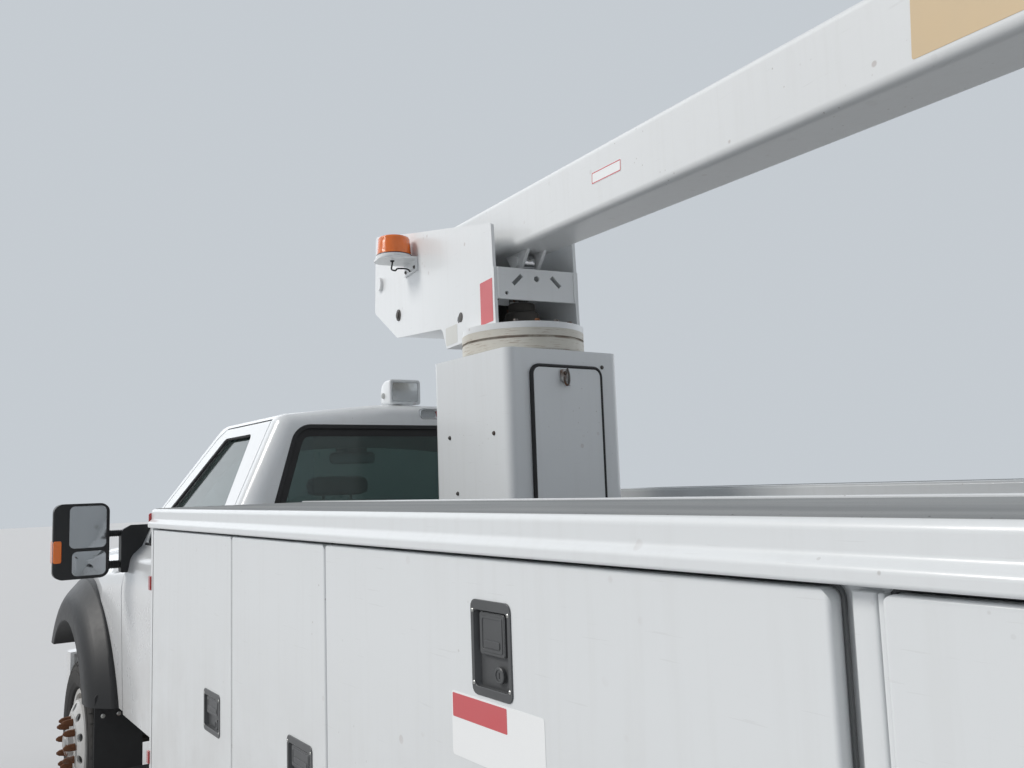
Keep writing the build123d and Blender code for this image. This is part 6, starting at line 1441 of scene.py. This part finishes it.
def carcass(part, centre_y, hub):
    """A tyre's body and the raised rings on its walls."""
    wall = [(0.2483, 0.0767), (0.2650, 0.0767), (0.2740, 0.0970), (0.2900, 0.1055), (0.3000, 0.1075),
            (0.3300, TYRE_HALF_WIDTH), (0.3480, 0.1125), (0.3720, 0.1070), (0.3860, 0.0990),
            (0.3930, 0.0910), (0.3955, 0.0780)]
    section = wall + [(0.3960, 0.0), *[(r, -w) for r, w in reversed(wall)]]
    turns = [2 * pi * k / 90 for k in range(90)]
    part.layers([[turned(r, a, centre_y + w) for a in turns] for r, w in section], hub, caps=False,
                closed=True)
    turns = [2 * pi * k / 72 for k in range(72)]
    for r, w in ((0.2960, 0.1062), (0.3580, 0.1108)):
        for side in (1, -1):
            part.sweep([turned(r, a, centre_y + side * w) for a in turns], 0.0018, hub, 6, closed=True)


def shoulder_lug(part, centre_y, hub, side, angle, pitch, edge):
    """A bar that runs from a shoulder block down the tyre's wall."""
    lug = []
    for share, r, w in ((0.34, 0.4018, edge - 0.001), (0.36, 0.3960, 0.0985), (0.30, 0.3800, 0.1060)):
        half = share * pitch
        outer = [turned(r, angle + s * half, centre_y + side * w) for s in (-1, 1)]
        deep = [turned(r - 0.010, angle + s * half, centre_y + side * (w - 0.006)) for s in (1, -1)]
        lug.append((outer + deep)[::side])
    part.layers(lug, hub)


def tread(part, centre_y, hub):
    """Five rows of leaning blocks, the outer rows with bars down the walls."""
    for middle, width, blocks, shift in TREAD_ROWS:
        pitch = 2 * pi / blocks
        lean = 0.10 * pitch if middle else 0.22 * pitch
        for k in range(blocks):
            start = (k + shift) * pitch
            low, high = [], []
            for v, u in ((-width / 2, 0.10), (width / 2, 0.10), (width / 2, 0.90), (-width / 2, 0.90)):
                angle = start + u * pitch + (lean if v > 0 else -lean)
                w = middle + v
                drop = max(0.0, abs(w) - 0.070) * 0.24
                inset = 0.0010 if v > 0 else -0.0010
                low.append(turned(0.3935, angle, centre_y + w))
                high.append(turned(TYRE_R - 0.0004 - drop, angle, centre_y + w - inset))
            part.layers([low, high], hub)
            if abs(middle) > 0.06:
                side = 1 if middle > 0 else -1
                shoulder_lug(part, centre_y, hub, side, start + 0.5 * pitch, pitch, abs(middle) + width / 2)


def tyre_pieces():
    """The tyres, which take the place of the plain ones: one a side in front and twins at the rear."""
    front = Part("front_tread", TYRE_RUBBER)
    carcass(front, FRONT_TYRE_Y, at(FRONT_AXLE_X, 0, TYRE_R))
    tread(front, FRONT_TYRE_Y, at(FRONT_AXLE_X, 0, TYRE_R))
    front.pair("wheel_front_{}", "tyre_rubber", "tyre_front_{}", sharp=28)
    rear = Part("rear_tread", TYRE_RUBBER)
    for y in REAR_TYRES_Y:
        carcass(rear, y, at(REAR_AXLE_X, 0, TYRE_R))
        tread(rear, y, at(REAR_AXLE_X, 0, TYRE_R))
    rear.pair("wheel_rear_{}", "tyre_rubber", "tyres_rear_{}", sharp=28)


# Seat

def stuffed(name, stations, material, swell, grooves, body="chassis"):
    """A foam and vinyl cushion: closed rings are remeshed, blown up as cloth, then sewn along its grooves."""
    part = Part(name, material)
    part.layers(stations)
    mesh = bpy.data.meshes.new(name)
    mesh.from_pydata(part.points, [], part.faces)
    mesh.materials.append(material)
    pad = bpy.data.objects.new(name, mesh)
    scene.collection.objects.link(pad)
    remesh = pad.modifiers.new("even", "REMESH")
    remesh.mode = "VOXEL"
    remesh.voxel_size = 0.013
    even = bpy.data.meshes.new_from_object(pad.evaluated_get(bpy.context.evaluated_depsgraph_get()))
    pad.modifiers.clear()
    pad.data = even
    rest = [v.co.copy() for v in pad.data.vertices]
    cloth = pad.modifiers.new("foam", "CLOTH")
    cloth.settings.quality = 4
    cloth.settings.use_pressure = True
    cloth.settings.uniform_pressure_force = 4.0
    cloth.settings.effector_weights.gravity = 0.0
    cloth.collision_settings.use_collision = False
    for step in range(1, 21):
        scene.frame_set(step)
    blown = bpy.data.meshes.new_from_object(pad.evaluated_get(bpy.context.evaluated_depsgraph_get()))
    pad.modifiers.clear()
    for vertex, old in zip(blown.vertices, rest):
        moved = vertex.co - old
        if moved.length > swell:
            vertex.co = old + moved.normalized() * swell
    pad.data = blown
    scene.frame_set(1)
    round_over = pad.modifiers.new("round", "SMOOTH")
    round_over.factor = 0.5
    round_over.iterations = 3
    finer = pad.modifiers.new("finer", "SUBSURF")
    finer.levels = finer.render_levels = 1
    pad.data = bpy.data.meshes.new_from_object(pad.evaluated_get(bpy.context.evaluated_depsgraph_get()))
    pad.modifiers.clear()
    normals = [v.normal.copy() for v in pad.data.vertices]
    for vertex, normal in zip(pad.data.vertices, normals):
        depth = 0.0
        for axis, spot, deep, wide in grooves:
            off = (vertex.co[axis] - spot) / wide
            depth = max(depth, deep * 2.718 ** (-off * off))
        vertex.co = vertex.co - normal * depth
    pad.data.materials.clear()
    pad.data.materials.append(material)
    pad.data.shade_smooth()
    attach(pad, body)
    return pad


# Corners of the seat's pads seen from the side, from the low rear one round: x, z and radius
CUSHION = ((0.830, 1.066, 0.03), (1.225, 1.062, 0.03), (1.235, 1.142, 0.04), (0.840, 1.118, 0.03))
BACK = ((0.785, 1.140, 0.03), (0.890, 1.150, 0.03), (0.810, 1.625, 0.04), (0.722, 1.615, 0.03))
HEAD_RESTRAINT = ((0.716, 1.640, 0.018), (0.800, 1.642, 0.022), (0.786, 1.716, 0.022), (0.722, 1.716, 0.018))


def pad_rings(corners, stations, steps=4):
    """The rings of a pad, one at each (y, how far its corners are drawn in)."""
    inward = ((1, 1), (-1, 1), (-1, -1), (1, -1))
    rings = []
    for y, shrink in stations:
        moved = [(x + a * shrink, z + b * shrink, r) for (x, z, r), (a, b) in zip(corners, inward)]
        rings.append([(x, y, z) for x, z in reversed(rounded(moved, steps))])
    return rings


def seat_cushions():
    """Three-part bench: cushions and backs in vinyl with sewn channels."""
    for side, y0, y1 in (("left", 0.215, 0.655), ("middle", -0.190, 0.190), ("right", -0.655, -0.215)):
        stations = ((y0, 0.030), (y0 + 0.02, 0.010), (y0 + 0.06, 0.0),
                    (y1 - 0.06, 0.0), (y1 - 0.02, 0.010), (y1, 0.030))
        sides = [(1, y0 + 0.075, 0.007, 0.007), (1, y1 - 0.075, 0.007, 0.007)]
        across = [(0, 1.13, 0.006, 0.007), (0, 0.98, 0.006, 0.007)]
        rings = pad_rings(CUSHION, stations)
        piece = stuffed(f"seat_cushion_{side}", rings, VINYL_GREY, 0.024, sides + across)
        if side == "middle":
            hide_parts("seat")
        across = [(2, 1.30, 0.006, 0.007), (2, 1.46, 0.006, 0.007)]
        stuffed(f"seat_back_{side}", pad_rings(BACK, stations), VINYL_GREY, 0.024, sides + across)


def seat_frame():
    """The bench's base and back panel, two head restraints on their rods, and the belt buckles."""
    base = Part("seat_frame", DASH_PLASTIC, ZINC, SEAL_RUBBER, VINYL_GREY)
    base.box((0.820, -0.640, 0.874), (1.220, 0.640, 1.052), None, 0.03, 0.01)
    base.box((0.775, -0.640, 1.052), (0.840, 0.640, 1.160), None, 0.012, 0.006)
    for y in (-0.435, 0.435):
        for rod_y in (y - 0.060, y + 0.060):
            base.sweep([(0.765, rod_y, 1.600), (0.757, rod_y, 1.648)], 0.006, None, 12, 1)
        stations = ((y - 0.128, 0.022), (y - 0.118, 0.008), (y - 0.085, 0.0),
                    (y + 0.085, 0.0), (y + 0.118, 0.008), (y + 0.128, 0.022))
        base.layers(pad_rings(HEAD_RESTRAINT, stations, 5), None, 3)
    for y in (-0.205, 0.200):
        base.box((0.850, y - 0.012, 1.100), (0.885, y + 0.012, 1.185), None, 0.006, 0.004, 2)
    base.done("chassis", "seat_cloth")


def dash_pieces():
    """Gauges, vents, knobs and a radio's rim, the pedals, the steering wheel's hub pad and the cab mirror."""
    inside = Part("dash_fittings", BLACK_PLASTIC, SEAL_RUBBER, WHITE_LABEL, ZINC, MIRROR_FACE)
    for y, z, r in ((0.450, 1.350, 0.046), (0.350, 1.350, 0.046), (0.400, 1.290, 0.024)):
        place = at(DASH_FACE, y, z, FACING_REAR)
        inside.lathe([(r, -0.002), (r, 0.005), (r - 0.004, 0.006), (r - 0.006, 0.003)], place, 32)
        inside.lathe([(r - 0.006, 0.0), (r - 0.006, 0.0020), (0.002, 0.0022)], place, 32, 2)
        inside.box((-0.0015, 0.0, 0.0022), (0.0015, r - 0.012, 0.0034), place, 0.0005, 0.0003, 1)
    for y in (0.640, 0.120, -0.120, -0.640):
        place = at(DASH_FACE, y, 1.340, FACING_REAR)
        inside.hoop(rectangle((-0.062, -0.034), (0.062, 0.034), 0.012),
                    rectangle((-0.056, -0.028), (0.056, 0.028), 0.009), -0.002, 0.006, place, 0.001)
        for k in range(5):
            v = -0.024 + 0.0115 * k
            inside.box((-0.055, v, 0.0), (0.055, v + 0.004, 0.005), place, 0.001, 0.0005, 1)
    for k in range(4):
        knob = at(DASH_FACE, -0.09 + 0.06 * k, 1.230, FACING_REAR)
        inside.lathe([(0.017, 0.0), (0.016, 0.012), (0.012, 0.014)], knob, 22, 1)
    inside.hoop(rectangle((-0.10, 1.255), (0.10, 1.300), 0.006),
                rectangle((-0.094, 1.261), (0.094, 1.294), 0.004),
                -0.001, 0.004, at(DASH_FACE, 0, 0, FACING_REAR), 0.001, 3)
    for y, half in ((0.520, 0.030), (0.400, 0.045), (0.300, 0.030)):
        inside.sweep([(1.900, y, 1.100), (1.860, y, 1.020), (1.830, y, 0.960)], 0.007, None, 10, 3)
        pedal = at(1.826, y, 0.955, FACING_REAR)
        inside.box((-half, -0.030, 0), (half, 0.030, 0.012), pedal, 0.006, 0.003, 1)
    column = at(1.712, 0.400, 1.380, Matrix.Rotation(radians(-62), 4, "Y"))
    inside.lathe([(0.070, 0.004), (0.066, 0.018), (0.052, 0.026), (0.010, 0.029)], column, 36)
    mirror_foot = at(1.560, 0, 1.872, FACING_REAR)
    inside.box((-0.085, -0.045, 0), (0.085, 0.045, 0.015), mirror_foot, 0.015, 0.004)
    mirror = at(1.548, 0, 1.820, FACING_REAR)
    inside.box((-0.125, -0.030, 0), (0.125, 0.030, 0.012), mirror, 0.026, 0.004)
    inside.box((-0.118, -0.024, 0.0115), (0.118, 0.024, 0.0135), mirror, 0.022, 0.0005, 4)
    inside.done("chassis", "black_plastic")


# Chassis and tail

def chassis_fittings():
    """Two rows of rivets along each frame rail, and the U-bolts of the rear springs."""
    rails = Part("frame_bolts", DARK_BOLT)
    for k in range(44):
        for z in (0.600, 0.690):
            rivet = at(-3.30 + 0.145 * k, 0.4255, z, FACING_LEFT)
            rails.lathe([(0.011, -0.002), (0.011, 0.001), (0.008, 0.005), (0.003, 0.0065)], rivet, 12)
    rails.pair("chassis", "ring_steel")
    clamps = Part("spring_clamps", DARK_BOLT)
    spring_y, half, thick = 0.520, 0.046, 0.0085
    for x in (REAR_AXLE_X - 0.075, REAR_AXLE_X + 0.075):
        for y in (spring_y - half, spring_y + half):
            clamps.sweep([(x, y, 0.330), (x, y, 0.560)], thick, None, 10)
            clamps.bolt(at(x, y, 0.332, FACING_DOWN), 0.015)
        turns = [pi * k / 10 for k in range(11)]
        arch = [(x, spring_y + half * cos(a), 0.560 + 0.020 * sin(a)) for a in turns]
        clamps.sweep(arch, thick, None, 10)
    clamps.pair("chassis", "ring_steel")


def tail_fittings():
    """The hitch plate's bolts and chain rings, and the tie-down rings on the shelf."""
    tail = Part("tail_fittings", ZINC, DARK_BOLT)
    for y in (-0.120, 0.120):
        for z in (0.600, 0.880):
            tail.bolt(at(-3.5905, y, z, FACING_REAR), 0.015, 1)
    for y in (-0.075, 0.075):
        ring = [(-3.6005, y + u, 0.790 + v) for u, v in regular(24, 0.030)]
        tail.sweep(ring, 0.0065, None, 10, closed=True)
        holder = at(-3.591, y, 0.822, FACING_REAR)
        tail.box((-0.018, -0.012, 0), (0.018, 0.012, 0.018), holder, 0.004, 0.002, 1)
    for x in (-2.90, -3.50):
        for y in (-1.02, 1.02):
            foot_z = DECK_TOP + 0.0015
            ring = [(x + 0.028 * cos(a), y, foot_z + 0.028 * sin(a))
                    for a in (pi * k / 12 for k in range(13))]
            tail.sweep(ring, 0.0055, None, 10)
            foot = at(x, y, DECK_TOP)
            tail.box((-0.040, -0.022, 0.0), (0.040, 0.022, 0.005), foot, 0.004, 0.001)
    tail.done("chassis", "ring_steel")


def deck_fittings():
    """Button-headed bolts along both sides of the cargo floor, clear of the pedestal."""
    deck = Part("deck_fittings", DARK_BOLT)
    for k in range(8):
        x = BODY_FRONT - 0.12 - 0.44 * k
        if abs(x - PEDESTAL_X) < 0.34:
            continue
        for y in (-0.56, 0.56):
            bolt = at(x, y, DECK_TOP)
            deck.lathe([(0.014, -0.001), (0.014, 0.002), (0.010, 0.006), (0.003, 0.0075)], bolt, 16)
    deck.done("chassis", "ring_steel")


# Stage

def stage_surface(name, colour, roughness=0.9):
    """A plain pale surface with hardly any grain."""
    s = Surface(name)
    grain = s.noise(3.0, 3.0)
    s.set(Base_Color=s.mix(grain, tuple(c * 0.98 for c in colour), colour), Roughness=roughness)
    return s.material


def make_stage():
    mesh = bpy.data.meshes.new("floor")
    reach = 60.0
    corners = [(-reach, -reach, 0), (reach, -reach, 0), (reach, reach, 0), (-reach, reach, 0)]
    mesh.from_pydata(corners, [], [(0, 1, 2, 3)])
    floor = bpy.data.objects.new("floor", mesh)
    scene.collection.objects.link(floor)
    mesh.materials.append(stage_surface("floor_grey", (0.70, 0.70, 0.70)))


# What the camera, mirrors and glass see of the sky, and the light that the sky gives
SKY_SEEN = (0.56, 0.60, 0.64, 1)
SKY_LIGHT = (0.86, 0.92, 1.0, 1)
SKY_STRENGTH = 0.36


def make_world():
    world = bpy.data.worlds.new("studio")
    scene.world = world
    world.use_nodes = True
    tree = world.node_tree
    tree.nodes.clear()
    out = tree.nodes.new("ShaderNodeOutputWorld")
    seen = tree.nodes.new("ShaderNodeBackground")
    seen.inputs["Color"].default_value = SKY_SEEN
    light = tree.nodes.new("ShaderNodeBackground")
    light.inputs["Color"].default_value = SKY_LIGHT
    light.inputs["Strength"].default_value = SKY_STRENGTH
    path = tree.nodes.new("ShaderNodeLightPath")
    rays = [Value(tree, path.outputs[f"Is {kind} Ray"]) for kind in ("Camera", "Glossy", "Transmission")]
    mix = tree.nodes.new("ShaderNodeMixShader")
    tree.links.new(rays[0].larger(rays[1]).larger(rays[2]).socket, mix.inputs[0])
    tree.links.new(light.outputs[0], mix.inputs[1])
    tree.links.new(seen.outputs[0], mix.inputs[2])
    tree.links.new(mix.outputs[0], out.inputs[0])


# Soft suns: name, where each stands and what it is aimed at, width in degrees, strength, colour
SUNS = [
    ("key", (3.5, 9.0, 9.0), (-0.4, 0.6, 1.4), 22, 1.90, (1.0, 0.975, 0.94)),
    ("front_fill", (11.0, 1.0, 6.5), (1.0, 0.0, 1.3), 50, 0.45, (0.93, 0.96, 1.0)),
    ("rear_fill", (-10.0, 2.0, 5.0), (-1.0, 0.0, 1.4), 60, 0.12, (0.90, 0.95, 1.0)),
    ("right_fill", (-1.0, -11.0, 6.0), (0.0, 0.0, 1.4), 60, 0.55, (0.93, 0.96, 1.0)),
]


def make_suns():
    for name, place, target, width, strength, colour in SUNS:
        data = bpy.data.lights.new(name, "SUN")
        data.angle = radians(width)
        data.energy = strength
        data.color = colour
        lamp = bpy.data.objects.new(name, data)
        scene.collection.objects.link(lamp)
        lamp.location = place
        lamp.rotation_mode = "QUATERNION"
        lamp.rotation_quaternion = (Vector(target) - Vector(place)).to_track_quat("-Z", "Y")


def make_camera():
    heading, pitch, roll = (radians(a) for a in (CAMERA_HEADING, CAMERA_PITCH, CAMERA_ROLL))
    ahead = Vector((cos(heading), -sin(heading), 0))
    right = Vector((-sin(heading), -cos(heading), 0))
    look = cos(pitch) * ahead + sin(pitch) * Vector((0, 0, 1))
    above = right.cross(look)
    across = cos(roll) * right + sin(roll) * above
    top = -sin(roll) * right + cos(roll) * above
    data = bpy.data.cameras.new("camera")
    data.sensor_width = SENSOR
    data.lens = CAMERA_FOCAL / FRAME_WIDTH * SENSOR
    data.clip_start = 0.05
    data.clip_end = 200
    camera = bpy.data.objects.new("camera", data)
    scene.collection.objects.link(camera)
    camera.matrix_world = Matrix((
        (across.x, top.x, -look.x, CAMERA_PLACE.x),
        (across.y, top.y, -look.y, CAMERA_PLACE.y),
        (across.z, top.z, -look.z, CAMERA_PLACE.z),
        (0, 0, 0, 1)))
    scene.camera = camera


for build_piece in (pack_latches, door_seals, door_posts, door_hinges, rail_tops, pack_markers,
                    pack_fasteners, door_label, pedestal_gasket, pedestal_latch, pedestal_fittings,
                    turret_base_bolts, turret_pins, turret_works, turret_labels, cross_plate_welds,
                    beacon_pieces, boom_labels, boom_fittings, boom_tip, lift_cylinder, bucket_pieces,
                    upper_controls, mirror_faces, window_rubbers, door_handles, headlamps, tail_lamps,
                    work_lamp, brake_lamp, windscreen_pieces, grille_mesh, front_plate, hood_rests,
                    front_mud_flaps, wheel_pieces, tyre_pieces, seat_cushions, seat_frame, dash_pieces,
                    chassis_fittings, tail_fittings, deck_fittings):
    build_piece()

make_camera()
make_stage()
make_world()
make_suns()
scene.view_settings.view_transform = "Standard"
